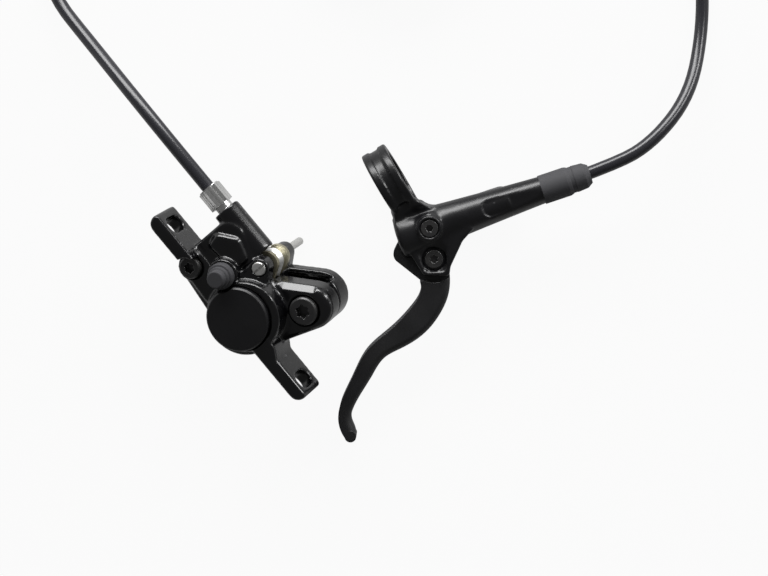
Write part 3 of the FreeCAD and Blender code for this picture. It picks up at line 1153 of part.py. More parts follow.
def hose():
    """Hose from the caliper to the coil and from the coil to the lever."""
    radius = number("hose_radius")
    ground = FLOOR + radius
    port = CALIPER.multVec(Vector(number("boss_b"), number("boss_end") - 12.0 + number("insert_head"),
                                  number("boss_a")))
    way = CALIPER.Rotation.multVec(Vector(0, 1, 0))
    leave = LEVER.multVec(on_barrel(number("barrel_length") - number("nut_socket_depth") + number("insert_head")))
    out = LEVER.Rotation.multVec(BARREL_WAY)
    coil = Vector(number("coil_centre_x"), number("coil_centre_y"), ground)
    turn = number("coil_radius")
    rise = radius * 2
    top = ground + rise * number("coil_turns")

    caliper_points = [port, port + way * 30, port + way * 61 + Vector(0, 0, -6), port + way * 92 + Vector(0, 0, -21),
                      port + way * 119 + Vector(0, 0, ground - port.z), Vector(-135, 97, ground),
                      Vector(-120, 120, ground), Vector(-89, 131, ground), Vector(-43, 133.5, ground),
                      Vector(coil.x, coil.y + turn, ground)]
    lever_points = [leave, leave + out * 35, Vector(98, 15.5, 4), Vector(112, 33, -3), Vector(118, 56, ground),
                    Vector(118.5, 80, ground), Vector(111, 104, ground), Vector(92, 122.5, ground),
                    Vector(64, 132, ground + 6), Vector(31.5, 134, top - 2), Vector(coil.x, coil.y + turn, top)]
    bore = number("hose_bore_radius")
    depth = number("insert_length") - number("insert_head")
    near = tube_along(caliper_points, "hose_caliper_run").cut(Part.makeCylinder(bore, depth, port, way))
    far = tube_along(lever_points, "hose_lever_run").cut(Part.makeCylinder(bore, depth, leave, out))
    here = Placement(Vector(0, 0, 0), Rotation())
    Shaped("hose_caliper_run", here, near)
    Shaped("hose_lever_run", here, far)
    ring = Piece("hose_coil", Placement(Vector(coil.x, coil.y, FLOOR), Rotation()))
    height = size("hose_radius") * 2 * (size("coil_turns") + 1)
    inner, outer = size("coil_radius") - size("hose_radius"), size("coil_radius") + size("hose_radius")
    corner_cut = 1.2
    ring.turned([(inner, corner_cut), (inner + corner_cut, 0), (outer - corner_cut, 0), (outer, corner_cut),
                 (outer, height - corner_cut), (outer - corner_cut, height), (inner + corner_cut, height),
                 (inner, height - corner_cut)])
    length = 2 * math.pi * turn * number("coil_turns")
    print("coil length %.0f" % length)
    thick, wide = number("tie_thickness"), number("tie_width")
    ties = []
    for side in (-1, 1):
        centre = Vector(coil.x + side * turn, coil.y, FLOOR)
        tall = rise * (number("coil_turns") + 1)
        shell = Part.makeBox(2 * (radius + thick), wide, tall + thick,
                             Vector(centre.x - radius - thick, centre.y - wide / 2, FLOOR))
        hollow = Part.makeBox(2 * radius + 0.1, wide + 2, tall + 0.05,
                              Vector(centre.x - radius - 0.05, centre.y - wide / 2 - 1, FLOOR - 0.01))
        ties.append(shell.cut(hollow))
    Shaped("hose_ties", here, Part.makeCompound(ties))


def build():
    """Make every piece, then check and write each one."""
    lever_body()
    clamp_bolt()
    lever_blade()
    pivot_set()
    piston_train()
    reservoir_set()
    lever_hose_fittings()
    outer_half()
    inner_half()
    pistons_and_pads()
    pad_hardware()
    body_bolts()
    piston_cap()
    bleed_nipple_set()
    caliper_hose_fittings()
    hose()
    DOCUMENT.recompute()
    for node in NODES:
        node.place()
    DOCUMENT.recompute()
    for thing in DOCUMENT.Objects:
        if "Invalid" in thing.State or "Error" in thing.State:
            raise RuntimeError("failed: %s in %s" % (thing.Name, [parent.Label for parent in thing.InList]))
    os.makedirs("parts", exist_ok=True)
    for node in NODES:
        shape = node.shape()
        if shape.isNull() or not shape.isValid():
            raise RuntimeError("bad shape: " + node.body.Label)
        shape.exportStep("parts/%s.step" % node.body.Label)
        box = shape.BoundBox
        print("%-22s solids %d volume %8.1f z %6.1f to %6.1f" % (
            node.body.Label, len(shape.Solids), shape.Volume, box.ZMin, box.ZMax))


build()
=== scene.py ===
"""Looks of a bicycle's hydraulic disc brake: lever, hose and caliper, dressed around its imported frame."""

import json
import logging
import math
from dataclasses import dataclass, field
from enum import Enum
from typing import Any

import bmesh
import bpy
from mathutils import Matrix, Vector


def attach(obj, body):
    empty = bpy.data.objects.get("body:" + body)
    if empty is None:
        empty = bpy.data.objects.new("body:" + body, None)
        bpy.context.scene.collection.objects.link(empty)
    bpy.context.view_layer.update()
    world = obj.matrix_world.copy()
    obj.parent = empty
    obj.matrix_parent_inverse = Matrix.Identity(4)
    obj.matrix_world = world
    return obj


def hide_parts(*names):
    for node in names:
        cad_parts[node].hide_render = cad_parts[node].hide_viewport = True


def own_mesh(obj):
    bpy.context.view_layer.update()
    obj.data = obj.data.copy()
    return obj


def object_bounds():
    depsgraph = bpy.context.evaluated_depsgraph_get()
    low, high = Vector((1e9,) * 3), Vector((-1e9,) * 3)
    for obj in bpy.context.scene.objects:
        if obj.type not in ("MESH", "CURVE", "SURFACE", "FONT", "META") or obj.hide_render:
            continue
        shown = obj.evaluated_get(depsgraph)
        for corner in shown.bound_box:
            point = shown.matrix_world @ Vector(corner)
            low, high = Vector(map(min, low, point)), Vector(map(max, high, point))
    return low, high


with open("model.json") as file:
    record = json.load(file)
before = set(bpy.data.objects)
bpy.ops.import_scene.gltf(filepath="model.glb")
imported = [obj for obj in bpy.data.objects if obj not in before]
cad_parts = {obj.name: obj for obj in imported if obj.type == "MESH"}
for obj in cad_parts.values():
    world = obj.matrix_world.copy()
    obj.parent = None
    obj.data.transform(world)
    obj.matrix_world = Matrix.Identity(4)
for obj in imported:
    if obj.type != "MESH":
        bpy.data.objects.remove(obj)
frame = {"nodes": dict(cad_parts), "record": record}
CAD_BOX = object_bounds()

log = logging.getLogger("disc_brake")

MM = 0.001
Triple = tuple[float, float, float]
Colour = Triple
Places = tuple[tuple[float, float], ...]


def placed(name: str, data: bpy.types.ID) -> bpy.types.Object:
    """Put a new object into the scene.

    Args:
        name: The object's name.
        data: Its mesh, curve, lamp or camera.

    Returns:
        The object.
    """
    made = bpy.data.objects.new(name, data)
    bpy.context.collection.objects.link(made)
    return made


class Signal:
    """A shader socket that takes part in Python arithmetic."""

    def __init__(self, graph: "Graph", socket: bpy.types.NodeSocket) -> None:
        """Wrap an output socket of a graph, which gets the Math nodes."""
        self.graph = graph
        self.socket = socket

    def _math(self, operation: str, first: Any, second: Any = None) -> "Signal":
        """Add one Math node, for one or two values or signals, and return its output."""
        values = {0: first} if second is None else {0: first, 1: second}
        return self.graph.add("ShaderNodeMath", {"operation": operation}, values)

    def __add__(self, other: Any) -> "Signal":
        """Sum."""
        return self._math("ADD", self, other)

    __radd__ = __add__

    def __sub__(self, other: Any) -> "Signal":
        """Difference."""
        return self._math("SUBTRACT", self, other)

    def __rsub__(self, other: Any) -> "Signal":
        """Difference the other way round."""
        return self._math("SUBTRACT", other, self)

    def __mul__(self, other: Any) -> "Signal":
        """Product."""
        return self._math("MULTIPLY", self, other)

    __rmul__ = __mul__

    def limited(self) -> "Signal":
        """Keep the signal between 0 and 1."""
        return self.graph.add("ShaderNodeClamp", None, {"Value": self})

    def clamped(self, low: float, high: float) -> "Signal":
        """Map the span from low to high onto 0 to 1, with soft ends."""
        return self.graph.add("ShaderNodeMapRange", {"interpolation_type": "SMOOTHSTEP"},
                              {"Value": self, "From Min": low, "From Max": high})


class Graph:
    """The node graph of one material or of the world."""

    def __init__(self, tree: bpy.types.NodeTree) -> None:
        """Empty a node tree, to fill it anew."""
        self.tree = tree
        tree.nodes.clear()

    def add(self, kind: str, settings: dict[str, Any] | None = None, values: dict[Any, Any] | None = None,
            output: int | str = 0) -> Signal:
        """Add a node, which is the one way in which nodes are made here.

        Args:
            kind: The node's type.
            settings: The node's own settings, with a ramp's stops under "stops".
            values: A number, a colour or a signal for each named or numbered socket.
            output: The output socket that the caller wants.

        Returns:
            The wanted output.
        """
        node = self.tree.nodes.new(kind)
        for name, value in (settings or {}).items():
            if name == "stops":
                ramp = node.color_ramp
                while len(ramp.elements) < len(value):
                    ramp.elements.new(1.0)
                for element, (place, colour) in zip(ramp.elements, value):
                    element.position = place
                    element.color = (*colour, 1.0)
            else:
                setattr(node, name, value)
        for name, value in (values or {}).items():
            socket = node.inputs[name]
            if isinstance(value, Signal):
                self.tree.links.new(value.socket, socket)
            elif isinstance(value, tuple) and len(value) == 3 and socket.type == "RGBA":
                socket.default_value = (*value, 1.0)
            else:
                socket.default_value = value
        return Signal(self, node.outputs[output]) if node.outputs else Signal(self, None)

    def place(self, stretch: Triple = (1.0, 1.0, 1.0), turn: Triple = (0.0, 0.0, 0.0)) -> Signal:
        """Object coordinates, scaled along each axis and turned about each, in radians."""
        here = self.add("ShaderNodeTexCoord", output="Object")
        return self.add("ShaderNodeMapping", None, {"Vector": here, "Scale": stretch, "Rotation": turn})

    def noise(self, where: Signal, scale: float, detail: float = 3.0, rough: float = 0.5) -> Signal:
        """Noise from 0 to 1, with its scale in features to a metre and its detail in octaves."""
        return self.add("ShaderNodeTexNoise", None,
                        {"Vector": where, "Scale": scale, "Detail": detail, "Roughness": rough}, "Fac")

    def blend(self, share: Signal, first: Any, second: Any) -> Signal:
        """Mix two colours or signals, by the share that the second has."""
        return self.add("ShaderNodeMix", {"data_type": "RGBA"}, {0: share, 6: first, 7: second}, 2)

    def rounded(self, radius: float) -> Signal:
        """Normals that run smoothly over each edge, as a rounding with a radius in metres would."""
        return self.add("ShaderNodeBevel", {"samples": 6}, {"Radius": radius})

    def edges(self, rounded: Signal) -> Signal:
        """How much a rounded normal leans away from the surface, which is 1 on an edge.

        Args:
            rounded: The rounded normal.

        Returns:
            The share.
        """
        flat = self.add("ShaderNodeNewGeometry", output="Normal")
        match = self.add("ShaderNodeVectorMath", {"operation": "DOT_PRODUCT"}, {0: rounded, 1: flat}, "Value")
        return (1.0 - match).clamped(0.01, 0.25)

    def bulges(self) -> Signal:
        """How much a fine skin bulges, which is 1 along its outer edges."""
        return self.add("ShaderNodeNewGeometry", output="Pointiness").clamped(0.55, 0.66)

    def bump(self, height: Signal, depth: float, under: Signal | None = None) -> Signal:
        """Turn a height into a normal.

        Args:
            height: The height signal.
            depth: The depth of a height of 1, in metres.
            under: A normal that this bump stands on.

        Returns:
            The normal.
        """
        values: dict[Any, Any] = {"Height": height, "Distance": depth, "Strength": 1.0}
        if under is not None:
            values["Normal"] = under
        return self.add("ShaderNodeBump", None, values)


@dataclass(frozen=True)
class Finish:
    """A surface finish with drifting colour, uneven gloss, a fine grain and, on some, a painted highlight along
    its edges.

    Attributes:
        name: The finish's name.
        colour: Its main colour.
        shade: The colour that it drifts to in places.
        roughness: Its roughness in the glossiest places.
        drift: How much rougher it gets elsewhere.
        metallic: 1 for bare metal.
        coat: Weight of the clear coat.
        grain: Grains in a metre.
        depth: Depth of the grain in metres.
        clouds: Clouds of colour in a metre.
        edge: Radius of the rounded edge that the finish shows, in metres.
        edge_highlight: The lighter colour painted along its edges, a painted highlight that stands in for light
            caught on rounded edges.
        cast: Whether it lies on a casting's skin, whose edges for the painted highlight are found by how they
            bulge.
    """

    name: str
    colour: Colour
    shade: Colour
    roughness: float
    drift: float
    metallic: float = 0.0
    coat: float = 0.0
    grain: float = 3000.0
    depth: float = 0.00001
    clouds: float = 90.0
    edge: float = 0.0
    edge_highlight: Colour | None = None
    cast: bool = False

    def pattern(self, graph: Graph) -> tuple[Signal, Signal, Signal]:
        """Lay out what varies over the surface.

        Args:
            graph: The material's graph.

        Returns:
            The colour, the roughness and the normal.
        """
        where = graph.place()
        cloud = graph.noise(where, self.clouds, 4.0).clamped(0.3, 0.7)
        grain = graph.noise(where, self.grain, 2.0, 0.6)
        colour = graph.blend(cloud, self.colour, self.shade)
        rough = cloud * self.drift * 0.5 + grain * self.drift + self.roughness
        if not self.edge:
            return colour, rough, graph.bump(grain, self.depth)
        rounded = graph.rounded(self.edge)
        # Painted highlight: a lighter colour along the edges stands in for the light that rounded edges catch.
        if self.edge_highlight:
            edges = graph.bulges() if self.cast else graph.edges(rounded)
            highlight_share = edges * (grain * 0.3 + 0.75)
            colour = graph.blend(highlight_share.limited(), colour, self.edge_highlight)
        return colour, rough, graph.bump(grain, self.depth, rounded)

    def build(self) -> bpy.types.Material:
        """Make the material.

        Returns:
            The material.
        """
        found = bpy.data.materials.get(self.name)
        if found:
            return found
        material = bpy.data.materials.new(self.name)
        material.use_nodes = True
        graph = Graph(material.node_tree)
        colour, rough, normal = self.pattern(graph)
        body = graph.add("ShaderNodeBsdfPrincipled", None, {
            "Base Color": colour, "Roughness": rough, "Normal": normal, "Metallic": self.metallic,
            "Coat Weight": self.coat, "Coat Roughness": 0.12})
        graph.add("ShaderNodeOutputMaterial", None, {"Surface": body})
        material.diffuse_color = (*self.colour, 1.0)
        return material


@dataclass(frozen=True)
class Brushed(Finish):
    """Bare metal with fine lines that run one way.

    Attributes:
        stretch: How the lines' coordinates are stretched along each axis.
    """

    stretch: Triple = (1.0, 0.08, 1.0)

    def pattern(self, graph: Graph) -> tuple[Signal, Signal, Signal]:
        """Lay out drawn lines over the clouds.

        Args:
            graph: The material's graph.

        Returns:
            The colour, the roughness and the normal.
        """
        cloud = graph.noise(graph.place(), self.clouds, 3.0).clamped(0.3, 0.7)
        lines = graph.noise(graph.place(self.stretch), self.grain, 3.0, 0.6)
        colour = graph.blend(cloud, self.colour, self.shade)
        rough = lines * self.drift + self.roughness
        return colour, rough, graph.bump(lines, self.depth)


@dataclass(frozen=True)
class Speckled(Finish):
    """A pressed compound with chips of another colour in it.

    Attributes:
        chip: The chips' colour.
    """

    chip: Colour = (0.45, 0.36, 0.22)

    def pattern(self, graph: Graph) -> tuple[Signal, Signal, Signal]:
        """Lay out chips in the compound.

        Args:
            graph: The material's graph.

        Returns:
            The colour, the roughness and the normal.
        """
        where = graph.place()
        cells = graph.add("ShaderNodeTexVoronoi", None, {"Vector": where, "Scale": self.grain}, "Distance")
        chips = 1.0 - cells.clamped(0.16, 0.26)
        cloud = graph.noise(where, self.clouds, 4.0)
        colour = graph.blend(chips, graph.blend(cloud, self.colour, self.shade), self.chip)
        rough = chips * -self.drift + (self.roughness + self.drift)
        return colour, rough, graph.bump(cells, self.depth)


class Kit(Enum):
    """The finishes that this brake shows."""

    # The lighter edge colour that some finishes carry is a painted highlight along their edges.
    LEVER_PAINT = Finish("lever_paint", (0.0042, 0.0042, 0.005), (0.006, 0.006, 0.007), 0.27, 0.06,
                         grain=2600.0, depth=0.000002, edge=0.0004, edge_highlight=(0.05, 0.05, 0.053), cast=True)
    BLADE_PAINT = Finish("blade_paint", (0.006, 0.006, 0.0068), (0.0085, 0.0085, 0.0095), 0.42, 0.12,
                         grain=4200.0, depth=0.00003, edge=0.0004, edge_highlight=(0.03, 0.03, 0.032))
    CALIPER_PAINT = Finish("caliper_paint", (0.0018, 0.0018, 0.0023), (0.0028, 0.0028, 0.0034), 0.19, 0.05,
                           coat=0.3, grain=1500.0, depth=0.000001, edge=0.0004, edge_highlight=(0.09, 0.09, 0.094),
                           cast=True)
    CAP_PAINT = Finish("cap_paint", (0.0035, 0.0035, 0.0045), (0.005, 0.005, 0.006), 0.38, 0.05,
                       grain=3200.0, depth=0.000006, edge=0.0003, edge_highlight=(0.02, 0.02, 0.022))
    BLACK_STEEL = Finish("black_steel", (0.05, 0.05, 0.052), (0.07, 0.069, 0.068), 0.3, 0.1,
                         metallic=0.7, grain=2500.0, depth=0.000008, edge=0.00025, edge_highlight=(0.3, 0.3, 0.3))
    ZINC = Brushed("bright_zinc", (0.86, 0.86, 0.85), (0.74, 0.74, 0.73), 0.2, 0.12, metallic=1.0,
                   grain=2400.0, depth=0.000008)
    SPRING_STEEL = Brushed("spring_steel", (0.66, 0.65, 0.63), (0.52, 0.51, 0.49), 0.26, 0.14, metallic=1.0,
                           grain=3000.0, depth=0.00001)
    OLIVE_PLATE = Finish("olive_plate", (0.47, 0.44, 0.32), (0.38, 0.35, 0.25), 0.32, 0.12, metallic=0.85,
                         grain=2500.0, depth=0.00001)
    LINING = Speckled("pad_lining", (0.075, 0.06, 0.05), (0.05, 0.04, 0.035), 0.62, 0.25,
                      grain=900.0, depth=0.00012)
    BRASS = Brushed("plain_brass", (0.7, 0.5, 0.22), (0.6, 0.42, 0.18), 0.26, 0.1, metallic=1.0,
                    grain=2600.0, depth=0.00001)
    ALUMINIUM = Brushed("turned_aluminium", (0.7, 0.7, 0.71), (0.6, 0.6, 0.61), 0.3, 0.12, metallic=1.0,
                        grain=2600.0, depth=0.00001, stretch=(1.0, 1.0, 0.1))
    CERAMIC = Finish("fired_ceramic", (0.74, 0.71, 0.65), (0.68, 0.65, 0.58), 0.32, 0.08,
                     grain=2200.0, depth=0.00001)
    SEAL_RUBBER = Finish("seal_rubber", (0.006, 0.006, 0.006), (0.009, 0.009, 0.009), 0.4, 0.12,
                         grain=3000.0, depth=0.00001)
    COVER_RUBBER = Finish("cover_rubber", (0.0052, 0.0052, 0.006), (0.0075, 0.0075, 0.0083), 0.36, 0.1,
                          grain=3600.0, depth=0.00001, edge=0.0004)
    HOSE_SHEATH = Finish("hose_sheath", (0.005, 0.005, 0.006), (0.007, 0.007, 0.008), 0.13, 0.012, coat=0.6,
                         grain=1500.0, depth=0.0000005, clouds=25.0)
    TIE_PLASTIC = Finish("tie_plastic", (0.02, 0.02, 0.02), (0.028, 0.028, 0.028), 0.4, 0.1,
                         grain=2600.0, depth=0.00002)
    NYLON = Finish("natural_nylon", (0.68, 0.67, 0.6), (0.62, 0.61, 0.54), 0.42, 0.1,
                   grain=2600.0, depth=0.00001)

    def material(self) -> bpy.types.Material:
        """The finish's material, made once."""
        return self.value.build()


SLOT_KIT: dict[str, Kit] = {
    "lever_casting": Kit.LEVER_PAINT, "blade": Kit.BLADE_PAINT, "caliper_casting": Kit.CALIPER_PAINT,
    "cap": Kit.CAP_PAINT, "black_fastener": Kit.BLACK_STEEL, "bright_steel": Kit.ZINC,
    "spring_steel": Kit.SPRING_STEEL, "pad_backing": Kit.OLIVE_PLATE, "lining": Kit.LINING,
    "brass": Kit.BRASS, "aluminium": Kit.ALUMINIUM, "piston": Kit.CERAMIC, "seal_rubber": Kit.SEAL_RUBBER,
    "cover_rubber": Kit.COVER_RUBBER, "hose_sheath": Kit.HOSE_SHEATH, "tie": Kit.TIE_PLASTIC,
    "nylon": Kit.NYLON,
}


def shade_by_angle(mesh: bpy.types.Mesh, degrees: float) -> None:
    """Shade a mesh smooth, apart from edges sharper than an angle in degrees."""
    mesh.shade_smooth()
    mesh.set_sharp_from_angle(angle=math.radians(degrees))


class Coat:
    """Puts the record's finishes on the CAD nodes."""

    def dress(self) -> None:
        """Give every CAD node its finish."""
        for part in frame["record"]["subparts"]:
            node = frame["nodes"].get(part["node"])
            if node is None or node.hide_render:
                continue
            kit = SLOT_KIT[part["material_slot"]]
            node.data.materials.clear()
            node.data.materials.append(kit.material())
            log.info("node %s: %s", part["node"], kit.value.name)


@dataclass
class Hose:
    """The hose in one run, from the caliper through the put-away coil to the lever.

    Attributes:
        radius: Its outer radius.
        ground: Height of its centreline where it lies on the floor.
        port: Where it starts in the caliper's nut.
        port_way: Its direction out of the caliper.
        port_run: Steps along that direction, each with how far it has sunk.
        port_landing: The step at which it reaches the floor.
        port_lay: Where it lies on the floor from there to the coil, seen from above.
        leave: Where it starts in the lever's fitting.
        leave_way: Its direction out of the lever.
        leave_step: How far it runs straight from there.
        leave_bend: Where it bends down to the floor.
        leave_lay: Where it lies on the floor from there, seen from above.
        leave_rise: Where it climbs onto the coil, with its height over the floor's run.
        leave_top: Where it comes onto the coil, with its height over the top turn.
        coil_centre: Centre of the coil, seen from above.
        coil_radius: Radius of the coil's turns.
        coil_turns: Number of turns.
        turn_points: Points in each turn.
        length: Its length from end to end, in metres; not used.
    """

    radius: float = 2.5
    ground: float = -12.152
    port: Vector = field(default_factory=lambda: Vector((-53.758, -18.836, 19.295)))
    port_way: Vector = field(default_factory=lambda: Vector((-0.63877, 0.7694, 0.0)))
    port_run: Places = ((0.0, 0.0), (30.0, 0.0), (61.0, -6.0), (92.0, -21.0))
    port_landing: float = 119.0
    port_lay: Places = ((-135.0, 97.0), (-120.0, 120.0), (-89.0, 131.0), (-43.0, 133.5))
    leave: Vector = field(default_factory=lambda: Vector((49.553, -4.903, 3.419)))
    leave_way: Vector = field(default_factory=lambda: Vector((0.94659, 0.31677, 0.06016)))
    leave_step: float = 35.0
    leave_bend: tuple[Triple, ...] = ((98.0, 15.5, 4.0), (112.0, 33.0, -3.0))
    leave_lay: Places = ((118.0, 56.0), (118.5, 80.0), (111.0, 104.0), (92.0, 122.5))
    leave_rise: Triple = (64.0, 132.0, 6.0)
    leave_top: Triple = (31.5, 134.0, -2.0)
    coil_centre: tuple[float, float] = (0.0, 105.5)
    coil_radius: float = 26.5
    coil_turns: int = 3
    turn_points: int = 16
    length: float = 1.066

    def coil(self) -> list[Vector]:
        """The control points of the coil, from the floor up.

        Returns:
            The points, in millimetres.
        """
        centre_x, centre_y = self.coil_centre
        points = []
        for step in range(self.coil_turns * self.turn_points + 1):
            angle = 2 * math.pi * step / self.turn_points
            points.append(Vector((centre_x + self.coil_radius * math.sin(angle),
                                  centre_y + self.coil_radius * math.cos(angle),
                                  self.ground + 2 * self.radius * step / self.turn_points)))
        return points

    def route(self) -> list[Vector]:
        """The control points of the whole run.

        Returns:
            The points, in millimetres.
        """
        low = self.ground
        top = low + 2 * self.radius * self.coil_turns
        out = [self.port + self.port_way * step + Vector((0, 0, sunk)) for step, sunk in self.port_run]
        out.append(self.port + self.port_way * self.port_landing + Vector((0, 0, low - self.port.z)))
        out += [Vector((x, y, low)) for x, y in self.port_lay]
        back = [self.leave, self.leave + self.leave_way * self.leave_step]
        back += [Vector(place) for place in self.leave_bend]
        back += [Vector((x, y, low)) for x, y in self.leave_lay]
        back += [Vector(self.leave_rise) + Vector((0, 0, low)), Vector(self.leave_top) + Vector((0, 0, top))]
        return out + self.coil() + back[::-1]

    def build(self) -> bpy.types.Object:
        """Returns:
            The hose.
        """
        points = [point * MM for point in self.route()]
        curve = bpy.data.curves.new("hose", "CURVE")
        curve.dimensions = "3D"
        curve.bevel_depth = self.radius * MM
        curve.bevel_resolution = 6
        curve.use_fill_caps = True
        curve.resolution_u = 6
        spline = curve.splines.new("NURBS")
        spline.points.add(len(points) - 1)
        for point, place in zip(spline.points, points):
            point.co = (*place, 1.0)
        spline.order_u = 3
        spline.use_endpoint_u = True
        hose = placed("hose", curve)
        curve.materials.append(Kit.HOSE_SHEATH.material())
        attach(hose, "root")
        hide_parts("hose_caliper_run", "hose_lever_run", "hose_coil")
        log.info("hose: %d points", len(points))
        return hose


def plain_copy(source: bpy.types.Object, name: str) -> bpy.types.Object:
    """Turn an object with live modifiers into a plain mesh object, and remove the source.

    Args:
        source: The object with its modifiers.
        name: The new object's name.

    Returns:
        The new object.
    """
    graph = bpy.context.evaluated_depsgraph_get()
    mesh = bpy.data.meshes.new_from_object(source.evaluated_get(graph), depsgraph=graph)
    mesh.name = name
    materials = list(source.data.materials)
    data = source.data
    bpy.data.objects.remove(source)
    if isinstance(data, bpy.types.Mesh):
        bpy.data.meshes.remove(data)
    made = placed(name, mesh)
    if not mesh.materials:
        for material in materials:
            mesh.materials.append(material)
    return made


def drop_crumbs(mesh: bpy.types.Mesh, least: int) -> None:
    """Delete the small loose shells that a skin leaves in narrow gaps.

    Args:
        mesh: The mesh to clean.
        least: The fewest vertices of a shell that stays.
    """
    form = bmesh.new()
    form.from_mesh(mesh)
    waiting = set(form.verts)
    crumbs: list[bmesh.types.BMVert] = []
    while waiting:
        front = [waiting.pop()]
        shell = list(front)
        while front:
            vertex = front.pop()
            for edge in vertex.link_edges:
                other = edge.other_vert(vertex)
                if other in waiting:
                    waiting.discard(other)
                    front.append(other)
                    shell.append(other)
        if len(shell) < least:
            crumbs += shell
    bmesh.ops.delete(form, geom=crumbs, context="VERTS")
    form.to_mesh(mesh)
    form.free()


class NodeTree:
    """A Geometry Nodes tree with named inputs."""

    def __init__(self, name: str, inputs: dict[str, str]) -> None:
        """Start a tree.

        Args:
            name: The tree's name.
            inputs: The socket type of each input, by name.
        """
        self.tree = bpy.data.node_groups.new(name, "GeometryNodeTree")
        self.tree.interface.new_socket("Geometry", in_out="INPUT", socket_type="NodeSocketGeometry")
        self.tree.interface.new_socket("Geometry", in_out="OUTPUT", socket_type="NodeSocketGeometry")
        for label, kind in inputs.items():
            self.tree.interface.new_socket(label, in_out="INPUT", socket_type=kind)
        self.start = self.tree.nodes.new("NodeGroupInput")
        self.end = self.tree.nodes.new("NodeGroupOutput")

    def given(self, label: str) -> bpy.types.NodeSocket:
        """One of the tree's inputs."""
        return self.start.outputs[label]

    def add(self, kind: str, settings: dict[str, Any] | None = None, values: dict[Any, Any] | None = None,
            output: int | str = 0) -> bpy.types.NodeSocket:
        """Add a node.

        Args:
            kind: The node's type.
            settings: The node's own settings.
            values: A value or a socket, or a list of sockets, for each named or numbered input.
            output: The output that the caller wants.

        Returns:
            The wanted output.
        """
        node = self.tree.nodes.new(kind)
        for name, value in (settings or {}).items():
            setattr(node, name, value)
        for name, value in (values or {}).items():
            for one in value if isinstance(value, list) else [value]:
                if isinstance(one, bpy.types.NodeSocket):
                    self.tree.links.new(one, node.inputs[name])
                else:
                    node.inputs[name].default_value = one
        return node.outputs[output]

    def close(self, shape: bpy.types.NodeSocket, material: bpy.types.NodeSocket) -> None:
        """End the tree with real geometry and its material.

        Args:
            shape: The finished geometry.
            material: The material's input.
        """
        real = self.add("GeometryNodeRealizeInstances", None, {"Geometry": shape})
        dressed = self.add("GeometryNodeSetMaterial", None, {"Geometry": real, "Material": material})
        self.tree.links.new(dressed, self.end.inputs["Geometry"])

    def run(self, host: bpy.types.Object, values: dict[str, Any]) -> None:
        """Put the tree on an object with values for its inputs.

        Args:
            host: The object that gets the modifier.
            values: A value for each named input.
        """
        modifier = host.modifiers.new(self.tree.name, "NODES")
        modifier.node_group = self.tree
        for item in self.tree.interface.items_tree:
            if item.in_out == "INPUT" and item.name in values:
                modifier[item.identifier] = values[item.name]


def path_object(name: str, points: list[Vector], closed: bool = False) -> bpy.types.Object:
    """A mesh of edges along some points, which a Geometry Nodes tree turns into a curve.

    Args:
        name: The object's name.
        points: The points, in millimetres.
        closed: Whether the last point joins the first.

    Returns:
        The object.
    """
    mesh = bpy.data.meshes.new(name)
    edges = [(i, i + 1) for i in range(len(points) - 1)]
    if closed:
        edges.append((len(points) - 1, 0))
    mesh.from_pydata([tuple(point * MM) for point in points], edges, [])
    return placed(name, mesh)


@dataclass(frozen=True)
class Span:
    """Something that runs straight from one point to another, in millimetres.

    Attributes:
        start: Its first end.
        end: Its other end.
    """

    start: Vector
    end: Vector

    def locate(self, spot: Vector) -> tuple[float, Vector]:
        """Where a spot lies beside the span.

        Args:
            spot: The spot.

        Returns:
            How far along the span it lies, from 0 to 1, and its offset from there.
        """
        along = self.end - self.start
        place = (spot - self.start).dot(along) / along.length_squared
        return place, spot - self.start - along * place


@dataclass(frozen=True)
class Blend(Span):
    """A span, seen from above, along which a skin is smoothed.

    Attributes:
        reach: How far to either side it works.
        strength: How strongly it smooths on its line.
        falloff: How steeply that fades towards its reach.
    """

    reach: float
    strength: float = 1.0
    falloff: float = 1.6

    def share(self, spot: Vector) -> float:
        """How strongly it smooths at a spot.

        Args:
            spot: The spot, in millimetres.

        Returns:
            The strength, from 0 to 1.
        """
        place, off = self.locate(spot.xy)
        past = place - max(0.0, min(1.0, place))
        far = (off + (self.end - self.start) * past).length / self.reach
        return self.strength * min(1.0, max(0.0, self.falloff * (1.0 - far)))


@dataclass(frozen=True)
class CrispDisc:
    """A disc, seen from above, on which a skin keeps its edges.

    Attributes:
        centre: Its centre.
        reach: Its radius.
        falloff: How steeply smoothing returns outside it.
    """

    centre: tuple[float, float]
    reach: float
    falloff: float = 4.0

    def off(self, spot: Vector) -> float:
        """How far a spot lies from the centre, in radii."""
        return (spot.xy - Vector(self.centre)).length / self.reach

    def share(self, spot: Vector) -> float:
        """How much smoothing it lets through at a spot, from 0 to 1."""
        return min(1.0, max(0.0, self.falloff * (self.off(spot) - 1.0)))


@dataclass(frozen=True)
class Web(Span):
    """A round-ended web between two forms.

    Attributes:
        radius: Its radius.
        spots: Points on each of its ends.
    """

    radius: float
    spots: int = 160

    def add(self, form: bmesh.types.BMesh) -> None:
        """Add it to a mesh.

        Args:
            form: The mesh.
        """
        corners = []
        for centre in (self.start, self.end):
            for step in range(self.spots):
                level = 1 - 2 * (step + 0.5) / self.spots
                angle = step * math.pi * (3 - math.sqrt(5))
                ring = math.sqrt(1 - level * level)
                way = Vector((ring * math.cos(angle), ring * math.sin(angle), level))
                corners.append(form.verts.new((centre + way * self.radius) * MM))
        hull = bmesh.ops.convex_hull(form, input=corners)
        inside = [item for item in hull["geom_interior"] if isinstance(item, bmesh.types.BMVert)]
        bmesh.ops.delete(form, geom=inside, context="VERTS")


